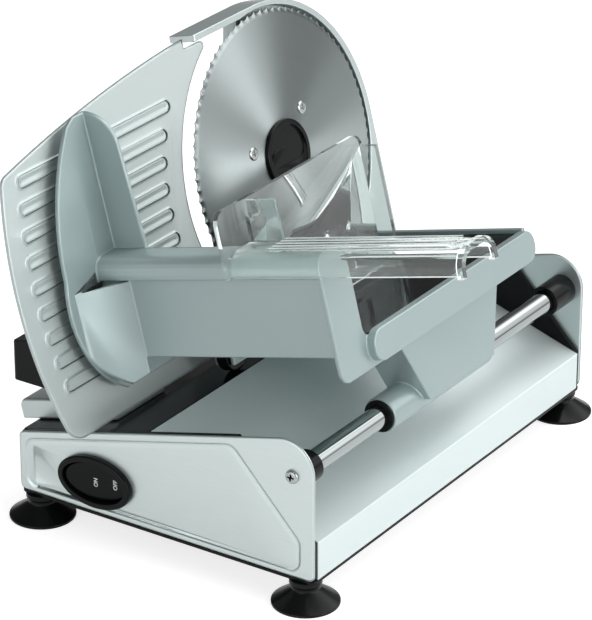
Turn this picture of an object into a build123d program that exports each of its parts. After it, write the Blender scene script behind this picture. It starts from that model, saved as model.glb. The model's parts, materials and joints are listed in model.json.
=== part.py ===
from build123d import *
import math
import os

# Food slicer with a sliding carriage. Millimetres, +X to the carriage side, +Y to the back, +Z up.
# The origin is on the standing surface, under the middle of the machine's bounding box.
# The base is drawn from its own centre: X, back (along Y) and height.
# The deck, blade, fence and carriage lean together about Y. Their places are given in the leaning frame:
# across (along the table, away from the blade), back (same as Y) and rise (square to the table).

# Driving dimensions of the base
TILT = 14.5
BASE_LENGTH = 316.0
BASE_WIDTH = 216.0
FOOT_HEIGHT = 16.5
BOTTOM_PLATE = 2.0
LEAN_BELOW_BASE = 27.0
DECK_RISE = 91.0
PANEL = 2.0
PANEL_RECESS = 0.8
RECESS_MARGIN = 5.0
RECESS_BOTTOM = 3.6
PANEL_CORNER = 20.0
SMALL_CORNER = 4.0
END_FRAME = 3.0
SHEET = 1.5
TRAY_START = 11.0
LOW_FACE_HEIGHT = 25.0
FRAME_CREST = 53.5
FRAME_MARGIN = 1.0
RIDGE_SPAN = 47.6
RIDGE_DROP = 50.7

# Suction feet
FOOT_INSET_ACROSS = 10.5
FOOT_INSET_BACK = 7.5
CUP_RADIUS = 20.75
CUP_RIM = 1.6
CUP_HEIGHT = 9.0
CUP_HOLLOW = 5.0
NECK_RADIUS = 10.0
NECK_GROOVE = 1.2
NECK_WAIST = 2.0
NIPPLE_RADIUS = 3.0
BARB_RADIUS = 4.4
BARB_HEIGHT = 4.0

# Guide rod, in the leaning frame
ROD_ACROSS = 113.7
ROD_RISE = 67.2
ROD_RADIUS = 7.0
COLLAR_RADIUS = 10.0
COLLAR_FRONT = 16.0
COLLAR_REAR = 24.0
ROD_SCREW_RADIUS = 2.0
ROD_SCREW_DEPTH = 12.0
SCREW_HEAD_RADIUS = 4.4
SCREW_HEAD_HEIGHT = 2.4

# Switch on the front panel
SWITCH_INSET = 58.0
SWITCH_UP = 21.3
BEZEL_LENGTH = 54.0
BEZEL_HEIGHT = 34.0
BEZEL_RIM = 4.0
BEZEL_PROUD = 3.5
BEZEL_ROUND = 1.4
SLEEVE_WALL = 1.6
SLEEVE_DEPTH = 16.0
ROCKER_GAP = 1.0
ROCKER_DEPTH = 9.0
ROCKER_TILT = 6.0
ROCKER_PIVOT_DEPTH = 5.0
TRUNNION_RADIUS = 2.0
SWITCH_BODY_LENGTH = 36.4
SWITCH_BODY_HEIGHT = 20.0
SWITCH_BODY_DEPTH = 14.0

# Cord gland on the rear panel
GLAND_INSET = 38.0
GLAND_UP = 18.0
GLAND_RADIUS = 9.0
GLAND_NECK = 6.5
GLAND_BORE = 3.6
GLAND_FLANGE = 3.0

# Blade and its hub
BLADE_FRONT = -21.5
BLADE_BACK = 76.0
BLADE_RISE = 189.5
BLADE_RADIUS = 95.0
BLADE_THICKNESS = 1.7
BLADE_EDGE = 0.3
BEVEL_WIDTH = 5.0
TOOTH_COUNT = 84
TOOTH_DEPTH = 1.6
TOOTH_VALLEY = 0.36
BLADE_BORE = 17.0
BLADE_SCREW_COUNT = 3
BLADE_SCREW_CIRCLE = 35.0
BLADE_SCREW_START = 41.5
BLADE_SCREW_RADIUS = 2.0
CARRIER_RADIUS = 40.0
CARRIER_THICKNESS = 4.0
JOURNAL_RADIUS = 8.0
LOCK_RADIUS = 23.0
LOCK_THICKNESS = 3.2
LOCK_EDGE = 0.8
LOCK_RIM = 3.6
LOCK_SUNK = 0.9
LOCK_SCOOP_DEPTH = 0.9
LOCK_SCOOP_TURN = 20.0
LOCK_STEM_RADIUS = 5.0
LOCK_STEM_DEPTH = 6.5

# Blade housing
RIM_SETBACK = 0.5
HOUSING_DEPTH = 20.0
RECESS_DEPTH = 7.0
BLADE_GAP = 1.3
RING_WALL = 5.3
RING_SHIFT_BACK = 1.2
RING_SHIFT_RISE = -0.7
UPRIGHT_NEAR = 38.0
UPRIGHT_SHOULDER_UP = 10.5
ARM_ROOT = 70.0
ARM_THICKNESS = 4.6
ARM_NEAR = 10.5
ARM_NOSE = 1.5
CASTING_FOOT = 6.0
CASTING_FOOT_REACH = 42.0
CASTING_FOOT_BACK = 142.0
BOSS_RADIUS = 15.0
BOSS_LENGTH = 15.0
BUSH_RADIUS = 11.0

# Drive behind the housing
GEAR_TEETH = 40
GEAR_MODULE = 1.5
GEAR_TOOTH_DEPTH = 1.9
GEAR_WIDTH = 6.0
GEAR_TOOTH_TOP = 1.1
GEAR_TOOTH_ROOT = 2.9
GEAR_BEHIND_BOSS = 1.0
RETAINER = 2.0
WORM_PITCH_RADIUS = 7.0
WORM_OUTER = 8.4
WORM_ROOT = 5.2
WORM_THREAD_TOP = 0.9
WORM_THREAD_ROOT = 2.3
WORM_TURNS = 6
WORM_MESH_TURN = 0.75
MOTOR_RADIUS = 16.0
MOTOR_LENGTH = 56.0
MOTOR_WALL = 3.0
MOTOR_SHAFT = 4.0
ROTOR_RADIUS = 12.0
MOTOR_CUP_HEIGHT = 10.0
MOTOR_CUP_WALL = 2.4
WORM_BLOCK_WIDTH = 13.0
WORM_BLOCK_HEIGHT = 9.0
COVER_WALL = 2.0
COVER_GAP = 1.0
COVER_CORNER = 18.0
MOTOR_BOX_CORNER = 6.0
VENT_COUNT = 6
VENT_WIDTH = 3.0
VENT_LENGTH = 34.0
VENT_STEP = 8.0

# Fence
FENCE_SETBACK = 2.0
FENCE_SHEET = 1.8
FENCE_BOTTOM_GAP = 3.0
FENCE_BLADE_GAP = 10.0
FENCE_LEFT = -200.5
FENCE_LEFT_UP = 0.5
FENCE_LEFT_RADIUS = 248.0
FENCE_NEAR_UP = 72.5
FENCE_MIDDLE_UP = 89.5
FENCE_MIDDLE_BACK = -102.6
FENCE_CREST_OVER = 5.0
FENCE_STEP_UNDER = 1.3
FENCE_STEP_LENGTH = 28.1
FENCE_FOOT_END = 20.0
FENCE_CORNER = 16.0
FENCE_TOP_CORNER = 8.0
FENCE_STEP_CORNER = 3.0
RIB_COUNT = 9
RIB_FIRST_UP = 34.5
RIB_LAST_UP = 66.2
RIB_WIDTH = 8.0
RIB_HEIGHT = 1.2
RIB_LEFT_MARGIN = 14.0
RIB_BLADE_MARGIN = 27.0
SLAB_NEAR = -139.0
SLAB_WIDTH = 51.0
SLAB_REACH = 74.7
SLAB_THICKNESS = 13.4
SLAB_NOSE = 5.0
SLIDE_SCREW_RADIUS = 3.0
SLIDE_SCREW_HEAD = 6.0
SLIDE_SCREW_SPACING = 30.0
SLIDE_SCREW_FIRST = -79.0
SLIDE_SCREW_FLANGE = 2.5
FENCE_TRAVEL = 15.0
BRACE_WIDTH = 14.0
BRACE_END_X = -126.4
BRACE_END_UP = 61.8
BRACE_TOP_RISE = 143.0
BRACE_CORNER = 3.0
SPINDLE_BACK = -55.0
SPINDLE_RISE = 112.0
SPINDLE_RADIUS = 4.0
SPINDLE_COLLAR = 7.0
SPINDLE_COLLAR_LENGTH = 2.7
SPINDLE_END = -42.0
NUT_LENGTH = 32.0
NUT_WIDTH = 22.0
GUIDE_BLOCK_START = -92.0
GUIDE_BLOCK_LENGTH = 16.0
GUIDE_BLOCK_WIDTH = 34.0
GUIDE_BLOCK_TOP = 128.0
KNOB_RADIUS = 20.0
KNOB_LENGTH = 15.0
KNOB_FLUTES = 12
KNOB_FLUTE_RADIUS = 2.5
KNOB_FLUTE_SHIFT = 0.8

# Carriage
CARRIAGE_WALL = 3.0
SHIELD_FACE = -13.5
SHIELD_BOTTOM = 111.5
SHIELD_WAIST_RISE = 190.0
SHIELD_NEAR = -166.5
SHIELD_TOP = 280.0
SHIELD_CROWN_BACK = -127.0
SHIELD_SHOULDER_BACK = -135.0
SHIELD_SHOULDER_RISE = 275.5
SHIELD_UPPER_BACK = -158.8
SHIELD_UPPER_RISE = 233.2
SHIELD_LOWER_BACK = -158.5
SHIELD_LOWER_RISE = 134.0
SHIELD_HEEL_BACK = -134.0
FIN_BACK = -117.8
FIN_REACH = 24.0
FIN_SHOULDER = 20.5
FIN_SHOULDER_RISE = 258.0
HOOD_NEAR = -139.0
HOOD_WIDTH = 29.0
HOOD_BOTTOM = 181.0
HOOD_TOP = 194.5
HOOD_CORNER = 9.0
WALL_NEAR = -134.0
TABLE_END = 150.0
FLOOR_TOP = 134.0
FLOOR_FAR = 73.0
TABLE_PLATE = 1.2
TABLE_MARGIN = 2.0
POST_BOTTOM = 115.5
POST_CORNER = 8.0
POST_EDGE = 1.0
RIM_DEPTH = 6.0
RIM_BOTTOM = 118.0
RIM_TOP = 138.0
RIM_NEAR = -110.0
RIM_CORNER = 9.0
GUSSET_ACROSS = 6.0
GUSSET_NEAR = -162.6
GUSSET_TOP = 180.0
GUSSET_HEEL = 121.0
LEG_FACE = 130.0
LEG_INNER = 102.0
LEG_CENTRE = 5.5
LEG_TOP_WIDTH = 135.0
LEG_FOOT_WIDTH = 75.0
LEG_FOOT_RISE = 65.0
TUBE_RADIUS = 11.2
TUBE_LEAD = 32.0
TUBE_TAIL = 7.0
ROD_BUSH_RADIUS = 9.6
ROD_BUSH_LENGTH = 16.0
ROD_BUSH_FLANGE = 10.2
ROD_BUSH_FLANGE_LENGTH = 1.5
ROLLER_ACROSS = 2.6
ROLLER_BACK = -52.6
ROLLER_RADIUS = 10.5
ROLLER_WIDTH = 8.0
ROLLER_GAP = 0.4
FORK_WIDTH = 16.0
PIN_RADIUS = 2.5

# Pusher
PUSHER_FACE = 86.7
PUSHER_SHEET = 3.0
PUSHER_NEAR = -145.0
PUSHER_FAR = 8.0
PUSHER_TOP = 223.0
PUSHER_CORNER = 8.0
PUSHER_FLOOR_GAP = 3.0
SLEEVE_END = 250.0
SLEEVE_SHEET = 2.6
SLEEVE_BOTTOM = 183.0
SLEEVE_BEAD = 1.2
SLEEVE_BEAD_LENGTH = 4.0
RIDGE_COUNT = 5
RIDGE_STEP = 4.5
RIDGE_HEIGHT = 0.8
RIDGE_START = 113.0
RIDGE_END = 236.0
WEB_REACH = 23.0
SPIKE_WIDTH = 2.8
SPIKE_LENGTH = 4.0
SPIKE_TAPER = 15.0
SPIKE_COLUMNS = 4
SPIKE_ROWS = 3
SPIKE_STEP = 22.0
SPIKE_ROW_STEP = 14.0
FLANGE_REACH = 11.0

# Clearances
RUNNING = 0.06
SLIDING = 0.4
SEAT = 0.1
LOOSE = 0.5

# Values worked out from the driving dimensions
COS = math.cos(math.radians(TILT))
SIN = math.sin(math.radians(TILT))
HALF_LENGTH = BASE_LENGTH / 2
HALF_WIDTH = BASE_WIDTH / 2
BASE_FLOOR = FOOT_HEIGHT + BOTTOM_PLATE
LEAN_HEIGHT = BASE_FLOOR - LEAN_BELOW_BASE
LOW_FACE_TOP = BASE_FLOOR + LOW_FACE_HEIGHT
SWITCH_X = SWITCH_INSET - HALF_WIDTH
SWITCH_Z = BASE_FLOOR + SWITCH_UP
GLAND_X = GLAND_INSET - HALF_WIDTH
GLAND_Z = BASE_FLOOR + GLAND_UP
BRACE_END_Z = BASE_FLOOR + BRACE_END_UP
INNER_HALF = HALF_LENGTH - PANEL - END_FRAME
FOOT_X = HALF_WIDTH - FOOT_INSET_ACROSS
FOOT_Y = HALF_LENGTH - FOOT_INSET_BACK
ROD_HALF = HALF_LENGTH - PANEL
BLADE_REAR = BLADE_FRONT - BLADE_THICKNESS
CARRIER_REAR = BLADE_REAR - CARRIER_THICKNESS
RIM_FRONT = BLADE_FRONT - RIM_SETBACK
HOUSING_REAR = RIM_FRONT - HOUSING_DEPTH
RECESS_FLOOR = RIM_FRONT - RECESS_DEPTH
RING_RADIUS = BLADE_RADIUS + RING_WALL
RING_BACK = BLADE_BACK + RING_SHIFT_BACK
RING_RISE = BLADE_RISE + RING_SHIFT_RISE
RING_TOP = RING_RISE + RING_RADIUS
UPRIGHT_FAR = RING_BACK + RING_RADIUS
BOSS_END = HOUSING_REAR - BOSS_LENGTH
GEAR_FRONT = BOSS_END - GEAR_BEHIND_BOSS
GEAR_REAR = GEAR_FRONT - GEAR_WIDTH
GEAR_MIDDLE = GEAR_FRONT - GEAR_WIDTH / 2
GEAR_PITCH_RADIUS = GEAR_TEETH * GEAR_MODULE / 2
GEAR_OUTER = GEAR_PITCH_RADIUS + GEAR_MODULE
GEAR_ROOT = GEAR_PITCH_RADIUS - GEAR_TOOTH_DEPTH
WORM_PITCH = math.pi * GEAR_MODULE
WORM_BACK = BLADE_BACK + GEAR_PITCH_RADIUS + WORM_PITCH_RADIUS
CASTING_FOOT_TOP = DECK_RISE + CASTING_FOOT
CASTING_FOOT_END = HOUSING_REAR - CASTING_FOOT_REACH
MOTOR_TOP = CASTING_FOOT_TOP + MOTOR_LENGTH
WORM_HALF = (WORM_TURNS / 2 + 0.5) * WORM_PITCH
WORM_BLOCK_BOTTOM = BLADE_RISE + WORM_HALF + LOOSE
FENCE_FRONT = BLADE_FRONT - FENCE_SETBACK
FENCE_REAR = FENCE_FRONT - FENCE_SHEET
FENCE_BOTTOM = DECK_RISE + FENCE_BOTTOM_GAP
FENCE_ARC = BLADE_RADIUS + FENCE_BLADE_GAP
FENCE_LEFT_RISE = BLADE_RISE + FENCE_LEFT_UP
FENCE_NEAR_RISE = BLADE_RISE + FENCE_NEAR_UP
SLAB_TOP = DECK_RISE + SLAB_THICKNESS
SHIELD_REAR = SHIELD_FACE - CARRIAGE_WALL
HOOD_FAR = HOOD_NEAR + HOOD_WIDTH
HOOD_MIDDLE = HOOD_NEAR + HOOD_WIDTH / 2
WALL_FAR = WALL_NEAR + CARRIAGE_WALL
FLOOR_BOTTOM = FLOOR_TOP - CARRIAGE_WALL
ROLLER_RISE = DECK_RISE + ROLLER_RADIUS + ROLLER_GAP
COVER_TOP = BLADE_RISE + GEAR_OUTER + COVER_GAP + COVER_WALL
KNOB_FACE = GUIDE_BLOCK_START - SEAT
KNOB_END = KNOB_FACE - KNOB_LENGTH

# Place of the base's centre in the model, from the machine's outermost edges: knob, sleeve, fence and upright
LEFT_REACH = KNOB_END * COS - (SPINDLE_RISE + KNOB_RADIUS) * SIN
RIGHT_REACH = SLEEVE_END * COS - (SLEEVE_BOTTOM - SLEEVE_BEAD) * SIN
CENTRE_X = -(LEFT_REACH + RIGHT_REACH) / 2
CENTRE_Y = -(FENCE_LEFT + UPRIGHT_FAR) / 2


def leaning(across, rise):
    """X and height of a point of the leaning frame, from the base's centre."""
    return (across * COS - rise * SIN, across * SIN + rise * COS + LEAN_HEIGHT)


def tilted(across, back, rise):
    """Point of the leaning frame in the model."""
    x, height = leaning(across, rise)
    return Vector(CENTRE_X + x, CENTRE_Y + back, height)


def table_plane(rise):
    """Plane along the table: sketches in across and back, extrudes up."""
    return Plane(origin=tilted(0, 0, rise), x_dir=(COS, 0, SIN), z_dir=(-SIN, 0, COS))


def cut_plane(across):
    """Plane along the blade: sketches in back and rise, extrudes away from the blade."""
    return Plane(origin=tilted(across, 0, 0), x_dir=(0, 1, 0), z_dir=(COS, 0, SIN))


def side_plane(back):
    """Leaning end view: sketches in across and rise, extrudes to the front."""
    return Plane(origin=tilted(0, back, 0), x_dir=(COS, 0, SIN), z_dir=(0, -1, 0))


def panel_plane(back):
    """Upright end view: sketches in X and height, extrudes to the front."""
    return Plane(origin=(CENTRE_X, CENTRE_Y + back, 0), x_dir=(1, 0, 0), z_dir=(0, -1, 0))


def floor_plane(height):
    """Level plane: sketches in X and back, extrudes up."""
    return Plane(origin=(CENTRE_X, CENTRE_Y, height), x_dir=(1, 0, 0), z_dir=(0, 0, 1))


def deck_height(x, rise=DECK_RISE):
    """Height above the floor of a leaning plane at X."""
    return (rise + x * SIN) / COS + LEAN_HEIGHT


def block(across, back, rise, mode=Mode.ADD):
    """Block square to the leaning frame, from three pairs of limits."""
    with BuildSketch(table_plane(rise[0])) as face:
        with Locations(((across[0] + across[1]) / 2, (back[0] + back[1]) / 2)):
            Rectangle(across[1] - across[0], back[1] - back[0])
    extrude(face.sketch, amount=rise[1] - rise[0], mode=mode)


def disc(across, back, rise, radius, mode=Mode.ADD):
    """Round bar along the across axis, from a pair of limits."""
    with BuildSketch(cut_plane(across[0])) as face:
        with Locations((back, rise)):
            Circle(radius)
    extrude(face.sketch, amount=across[1] - across[0], mode=mode)


def rod_bar(back, radius, mode=Mode.ADD):
    """Round bar on the guide rod's axis, from a pair of limits along Y."""
    with BuildSketch(side_plane(back[1])) as face:
        with Locations((ROD_ACROSS, ROD_RISE)):
            Circle(radius)
    extrude(face.sketch, amount=back[1] - back[0], mode=mode)


def upright_bar(rise, radius, mode=Mode.ADD):
    """Round bar on the motor's axis, from a pair of limits along the rise."""
    with BuildSketch(table_plane(rise[0])) as face:
        with Locations((GEAR_MIDDLE, WORM_BACK)):
            Circle(radius)
    extrude(face.sketch, amount=rise[1] - rise[0], mode=mode)


def save(piece, name):
    """Label a finished piece and write it."""
    piece.part.label = name
    export_step(piece.part, f"parts/{name}.step")


os.makedirs("parts", exist_ok=True)


# Base panels
def panel(name, outer, outward):
    """End panel of pressed sheet, with a sunk field and a hole for the rod screw."""
    inner = outer - outward * PANEL
    with BuildPart() as piece:
        with BuildSketch(panel_plane(max(outer, inner))) as outline:
            with BuildLine() as edge:
                FilletPolyline(
                    (-HALF_WIDTH, BASE_FLOOR),
                    (-HALF_WIDTH, deck_height(-HALF_WIDTH)),
                    (HALF_WIDTH, deck_height(HALF_WIDTH)),
                    (HALF_WIDTH, BASE_FLOOR),
                    radius=[SMALL_CORNER, SMALL_CORNER, PANEL_CORNER, SMALL_CORNER],
                    close=True,
                )
            make_face()
        extrude(amount=PANEL)
        sunk_face = outer - outward * PANEL_RECESS
        ridge_top_x = HALF_WIDTH - 2 * RECESS_MARGIN - RIDGE_SPAN
        top_rise = DECK_RISE - RECESS_MARGIN
        ridge_top_z = deck_height(ridge_top_x, top_rise)
        with BuildSketch(panel_plane(max(outer, sunk_face))) as field:
            with BuildLine() as edge:
                FilletPolyline(
                    (-HALF_WIDTH + RECESS_MARGIN, BASE_FLOOR + RECESS_BOTTOM),
                    (-HALF_WIDTH + RECESS_MARGIN, deck_height(-HALF_WIDTH + RECESS_MARGIN, top_rise)),
                    (ridge_top_x, ridge_top_z),
                    (ridge_top_x + RIDGE_SPAN, ridge_top_z - RIDGE_DROP),
                    (ridge_top_x + RIDGE_SPAN, BASE_FLOOR + RECESS_BOTTOM),
                    radius=2 * SMALL_CORNER,
                    close=True,
                )
            make_face()
        extrude(amount=PANEL_RECESS, mode=Mode.SUBTRACT)
        rod_bar((-HALF_LENGTH, HALF_LENGTH), ROD_SCREW_RADIUS + SEAT, mode=Mode.SUBTRACT)
        if outward < 0:
            switch_cutout(SEAT)
        else:
            gland_cutout()
    save(piece, name)


def switch_cutout(gap):
    """Oval opening for the switch sleeve, cut through the front of the base."""
    with BuildSketch(panel_plane(-INNER_HALF)) as face:
        with Locations((SWITCH_X, SWITCH_Z)):
            Ellipse(BEZEL_LENGTH / 2 - BEZEL_RIM + SLEEVE_WALL + gap,
                    BEZEL_HEIGHT / 2 - BEZEL_RIM + SLEEVE_WALL + gap)
    extrude(face.sketch, amount=PANEL + END_FRAME, mode=Mode.SUBTRACT)


def gland_cutout():
    """Round opening for the cord gland, cut through the rear of the base."""
    with BuildSketch(panel_plane(HALF_LENGTH)) as face:
        with Locations((GLAND_X, GLAND_Z)):
            Circle(GLAND_NECK + SEAT)
    extrude(face.sketch, amount=PANEL + END_FRAME, mode=Mode.SUBTRACT)


def end_frame(name, outer, outward):
    """Black inner end of the base, with its slanted shoulder above the tray."""
    inner = outer - outward * END_FRAME
    with BuildPart() as piece:
        with BuildSketch(panel_plane(max(outer, inner))) as outline:
            with BuildLine() as edge:
                Polyline(
                    (-HALF_WIDTH + FRAME_MARGIN, BASE_FLOOR),
                    (-HALF_WIDTH + FRAME_MARGIN, deck_height(-HALF_WIDTH + FRAME_MARGIN)),
                    (FRAME_CREST, deck_height(FRAME_CREST)),
                    (HALF_WIDTH - FRAME_MARGIN, LOW_FACE_TOP),
                    (HALF_WIDTH - FRAME_MARGIN, BASE_FLOOR),
                    close=True,
                )
            make_face()
        extrude(amount=END_FRAME)
        with BuildSketch(floor_plane(BASE_FLOOR)) as notches:
            with Locations((-FOOT_X, outward * FOOT_Y), (FOOT_X, outward * FOOT_Y)):
                Circle(BARB_RADIUS + LOOSE)
        extrude(notches.sketch, amount=BARB_HEIGHT + LOOSE, mode=Mode.SUBTRACT)
        if outward < 0:
            switch_cutout(SEAT)
        else:
            gland_cutout()
    save(piece, name)


panel("front_panel", -HALF_LENGTH, -1)
panel("rear_panel", HALF_LENGTH, 1)
end_frame("front_end_frame", -HALF_LENGTH + PANEL, -1)
end_frame("rear_end_frame", HALF_LENGTH - PANEL, 1)

# Folded cover: black deck with the left wall, bright tray with the low face
slide_screw_places = [
    (SLIDE_SCREW_FIRST + SLIDE_SCREW_SPACING * index, SLAB_NEAR + SLAB_WIDTH / 2) for index in range(2)
]


def folded_cover(name, side):
    """One side of the folded cover, parted along the tray's upper edge."""
    with BuildPart() as piece:
        with BuildSketch(panel_plane(INNER_HALF)) as section:
            with BuildLine() as edge:
                Polyline(
                    (-HALF_WIDTH, BASE_FLOOR),
                    (-HALF_WIDTH, deck_height(-HALF_WIDTH)),
                    leaning(TRAY_START, DECK_RISE),
                    (HALF_WIDTH, LOW_FACE_TOP),
                    (HALF_WIDTH, BASE_FLOOR),
                    close=True,
                )
            make_face()
            offset(amount=-SHEET, kind=Kind.INTERSECTION, mode=Mode.SUBTRACT)
            with Locations((0, BASE_FLOOR + SHEET / 2)):
                Rectangle(BASE_WIDTH - 2 * SHEET, SHEET, mode=Mode.SUBTRACT)
        extrude(amount=2 * INNER_HALF)
        split(bisect_by=cut_plane(TRAY_START), keep=side)
        with BuildSketch(table_plane(DECK_RISE - 2 * SHEET)) as holes:
            with Locations(*slide_screw_places):
                Circle(SLIDE_SCREW_RADIUS + SEAT)
        extrude(holes.sketch, amount=4 * SHEET, mode=Mode.SUBTRACT)
    save(piece, name)


folded_cover("deck_cover", Keep.BOTTOM)
folded_cover("tray_cover", Keep.TOP)

with BuildPart() as bottom_plate:
    with BuildSketch(floor_plane(FOOT_HEIGHT)) as outline:
        RectangleRounded(BASE_WIDTH, BASE_LENGTH, SMALL_CORNER)
        with GridLocations(2 * FOOT_X, 2 * FOOT_Y, 2, 2):
            Circle(NIPPLE_RADIUS + SEAT, mode=Mode.SUBTRACT)
        with GridLocations(2 * VENT_STEP, 0, VENT_COUNT, 1):
            Rectangle(VENT_WIDTH, 2 * VENT_LENGTH, mode=Mode.SUBTRACT)
    extrude(amount=BOTTOM_PLATE)
save(bottom_plate, "bottom_plate")

# Suction feet, each with a barbed nipple through the bottom plate
foot_names = ["foot_front_left", "foot_front_right", "foot_rear_left", "foot_rear_right"]
foot_places = [(-FOOT_X, -FOOT_Y), (FOOT_X, -FOOT_Y), (-FOOT_X, FOOT_Y), (FOOT_X, FOOT_Y)]
for foot_name, (foot_x, foot_y) in zip(foot_names, foot_places):
    with BuildPart() as foot:
        with BuildSketch(panel_plane(foot_y)) as section:
            with BuildLine() as edge:
                hollow = TangentArc((foot_x, CUP_HOLLOW), (foot_x + CUP_RADIUS - CUP_RIM, 0), tangent=(1, 0))
                Polyline(
                    hollow @ 1,
                    (foot_x + CUP_RADIUS, 0),
                    (foot_x + CUP_RADIUS, CUP_RIM),
                    (foot_x + NECK_RADIUS, CUP_HEIGHT),
                    (foot_x + NECK_RADIUS - NECK_GROOVE, CUP_HEIGHT + NECK_GROOVE),
                    (foot_x + NECK_RADIUS - NECK_GROOVE, CUP_HEIGHT + NECK_GROOVE + NECK_WAIST),
                    (foot_x + NECK_RADIUS, CUP_HEIGHT + 2 * NECK_GROOVE + NECK_WAIST),
                    (foot_x + NECK_RADIUS, FOOT_HEIGHT),
                    (foot_x + NIPPLE_RADIUS, FOOT_HEIGHT),
                    (foot_x + NIPPLE_RADIUS, BASE_FLOOR),
                    (foot_x + BARB_RADIUS, BASE_FLOOR),
                    (foot_x + NIPPLE_RADIUS, BASE_FLOOR + BARB_HEIGHT),
                    (foot_x, BASE_FLOOR + BARB_HEIGHT),
                    hollow @ 0,
                )
            make_face()
        revolve(axis=Axis((CENTRE_X + foot_x, CENTRE_Y + foot_y, 0), (0, 0, 1)))
    save(foot, foot_name)

# Guide rod between the end panels
with BuildPart() as guide_rod:
    rod_bar((-ROD_HALF, ROD_HALF), ROD_RADIUS)
    rod_bar((-ROD_HALF, -ROD_HALF + ROD_SCREW_DEPTH + LOOSE), ROD_SCREW_RADIUS + RUNNING, mode=Mode.SUBTRACT)
    rod_bar((ROD_HALF - ROD_SCREW_DEPTH - LOOSE, ROD_HALF), ROD_SCREW_RADIUS + RUNNING, mode=Mode.SUBTRACT)
save(guide_rod, "guide_rod")

for collar_name, near, far in (
    ("rod_collar_front", -ROD_HALF, -ROD_HALF + COLLAR_FRONT),
    ("rod_collar_rear", ROD_HALF - COLLAR_REAR, ROD_HALF),
):
    with BuildPart() as collar:
        rod_bar((near, far), COLLAR_RADIUS)
        rod_bar((near, far), ROD_RADIUS + RUNNING, mode=Mode.SUBTRACT)
    save(collar, collar_name)

with BuildPart() as rod_screws:
    for outward in (-1, 1):
        seat = outward * HALF_LENGTH
        tip = outward * (ROD_HALF - ROD_SCREW_DEPTH)
        crown = seat + outward * SCREW_HEAD_HEIGHT
        rod_bar((min(tip, seat), max(tip, seat)), ROD_SCREW_RADIUS)
        rod_bar((min(seat, crown), max(seat, crown)), SCREW_HEAD_RADIUS)
save(rod_screws, "rod_screws")

# Switch: oval bezel with a sleeve, rocker on trunnions, body behind
sleeve_length = BEZEL_LENGTH / 2 - BEZEL_RIM
sleeve_height = BEZEL_HEIGHT / 2 - BEZEL_RIM
pivot_y = -HALF_LENGTH + ROCKER_PIVOT_DEPTH
sleeve_end = -HALF_LENGTH + SLEEVE_DEPTH
with BuildPart() as switch_bezel:
    with BuildSketch(panel_plane(-HALF_LENGTH + PANEL_RECESS)) as flange:
        with Locations((SWITCH_X, SWITCH_Z)):
            Ellipse(BEZEL_LENGTH / 2, BEZEL_HEIGHT / 2)
    extrude(amount=PANEL_RECESS + BEZEL_PROUD)
    fillet(switch_bezel.faces().sort_by(Axis.Y)[0].edges(), BEZEL_ROUND)
    with BuildSketch(panel_plane(sleeve_end)) as sleeve:
        with Locations((SWITCH_X, SWITCH_Z)):
            Ellipse(sleeve_length + SLEEVE_WALL, sleeve_height + SLEEVE_WALL)
    extrude(amount=SLEEVE_DEPTH)
    with BuildSketch(panel_plane(sleeve_end)) as opening:
        with Locations((SWITCH_X, SWITCH_Z)):
            Ellipse(sleeve_length, sleeve_height)
    extrude(amount=SLEEVE_DEPTH + BEZEL_PROUD, mode=Mode.SUBTRACT)
    with BuildSketch(floor_plane(SWITCH_Z - sleeve_height - SLEEVE_WALL)) as pivots:
        with Locations((SWITCH_X, pivot_y)):
            Circle(TRUNNION_RADIUS + RUNNING)
    extrude(amount=2 * (sleeve_height + SLEEVE_WALL), mode=Mode.SUBTRACT)
save(switch_bezel, "switch_bezel")

rocker_lean = math.radians(ROCKER_TILT)
rocker_plane = Plane(
    origin=(CENTRE_X + SWITCH_X, CENTRE_Y + pivot_y, SWITCH_Z),
    x_dir=(math.cos(rocker_lean), math.sin(rocker_lean), 0),
    z_dir=(math.sin(rocker_lean), -math.cos(rocker_lean), 0),
)
with BuildPart() as switch_rocker:
    with BuildSketch(rocker_plane.offset(-ROCKER_DEPTH / 2)) as outline:
        Ellipse(sleeve_length - ROCKER_GAP, sleeve_height - ROCKER_GAP)
    extrude(amount=ROCKER_DEPTH)
    with BuildSketch(floor_plane(SWITCH_Z - sleeve_height)) as pivots:
        with Locations((SWITCH_X, pivot_y)):
            Circle(TRUNNION_RADIUS)
    extrude(amount=2 * sleeve_height)
save(switch_rocker, "switch_rocker")

with BuildPart() as switch_body:
    with BuildSketch(panel_plane(sleeve_end + SWITCH_BODY_DEPTH)) as outline:
        with Locations((SWITCH_X, SWITCH_Z)):
            RectangleRounded(SWITCH_BODY_LENGTH, SWITCH_BODY_HEIGHT, SLEEVE_WALL)
    extrude(amount=SWITCH_BODY_DEPTH)
save(switch_body, "switch_body")

with BuildPart() as cord_gland:
    with BuildSketch(panel_plane(HALF_LENGTH + GLAND_FLANGE)) as flange:
        with Locations((GLAND_X, GLAND_Z)):
            Circle(GLAND_RADIUS)
    extrude(amount=GLAND_FLANGE + PANEL_RECESS)
    with BuildSketch(panel_plane(HALF_LENGTH)) as neck:
        with Locations((GLAND_X, GLAND_Z)):
            Circle(GLAND_NECK)
    extrude(amount=PANEL + END_FRAME)
    with BuildSketch(panel_plane(INNER_HALF)) as flange:
        with Locations((GLAND_X, GLAND_Z)):
            Circle(GLAND_RADIUS)
    extrude(amount=GLAND_FLANGE)
    with BuildSketch(panel_plane(HALF_LENGTH + GLAND_FLANGE)) as bore:
        with Locations((GLAND_X, GLAND_Z)):
            Circle(GLAND_BORE)
    extrude(amount=2 * GLAND_FLANGE + PANEL + END_FRAME, mode=Mode.SUBTRACT)
save(cord_gland, "cord_gland")

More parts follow.
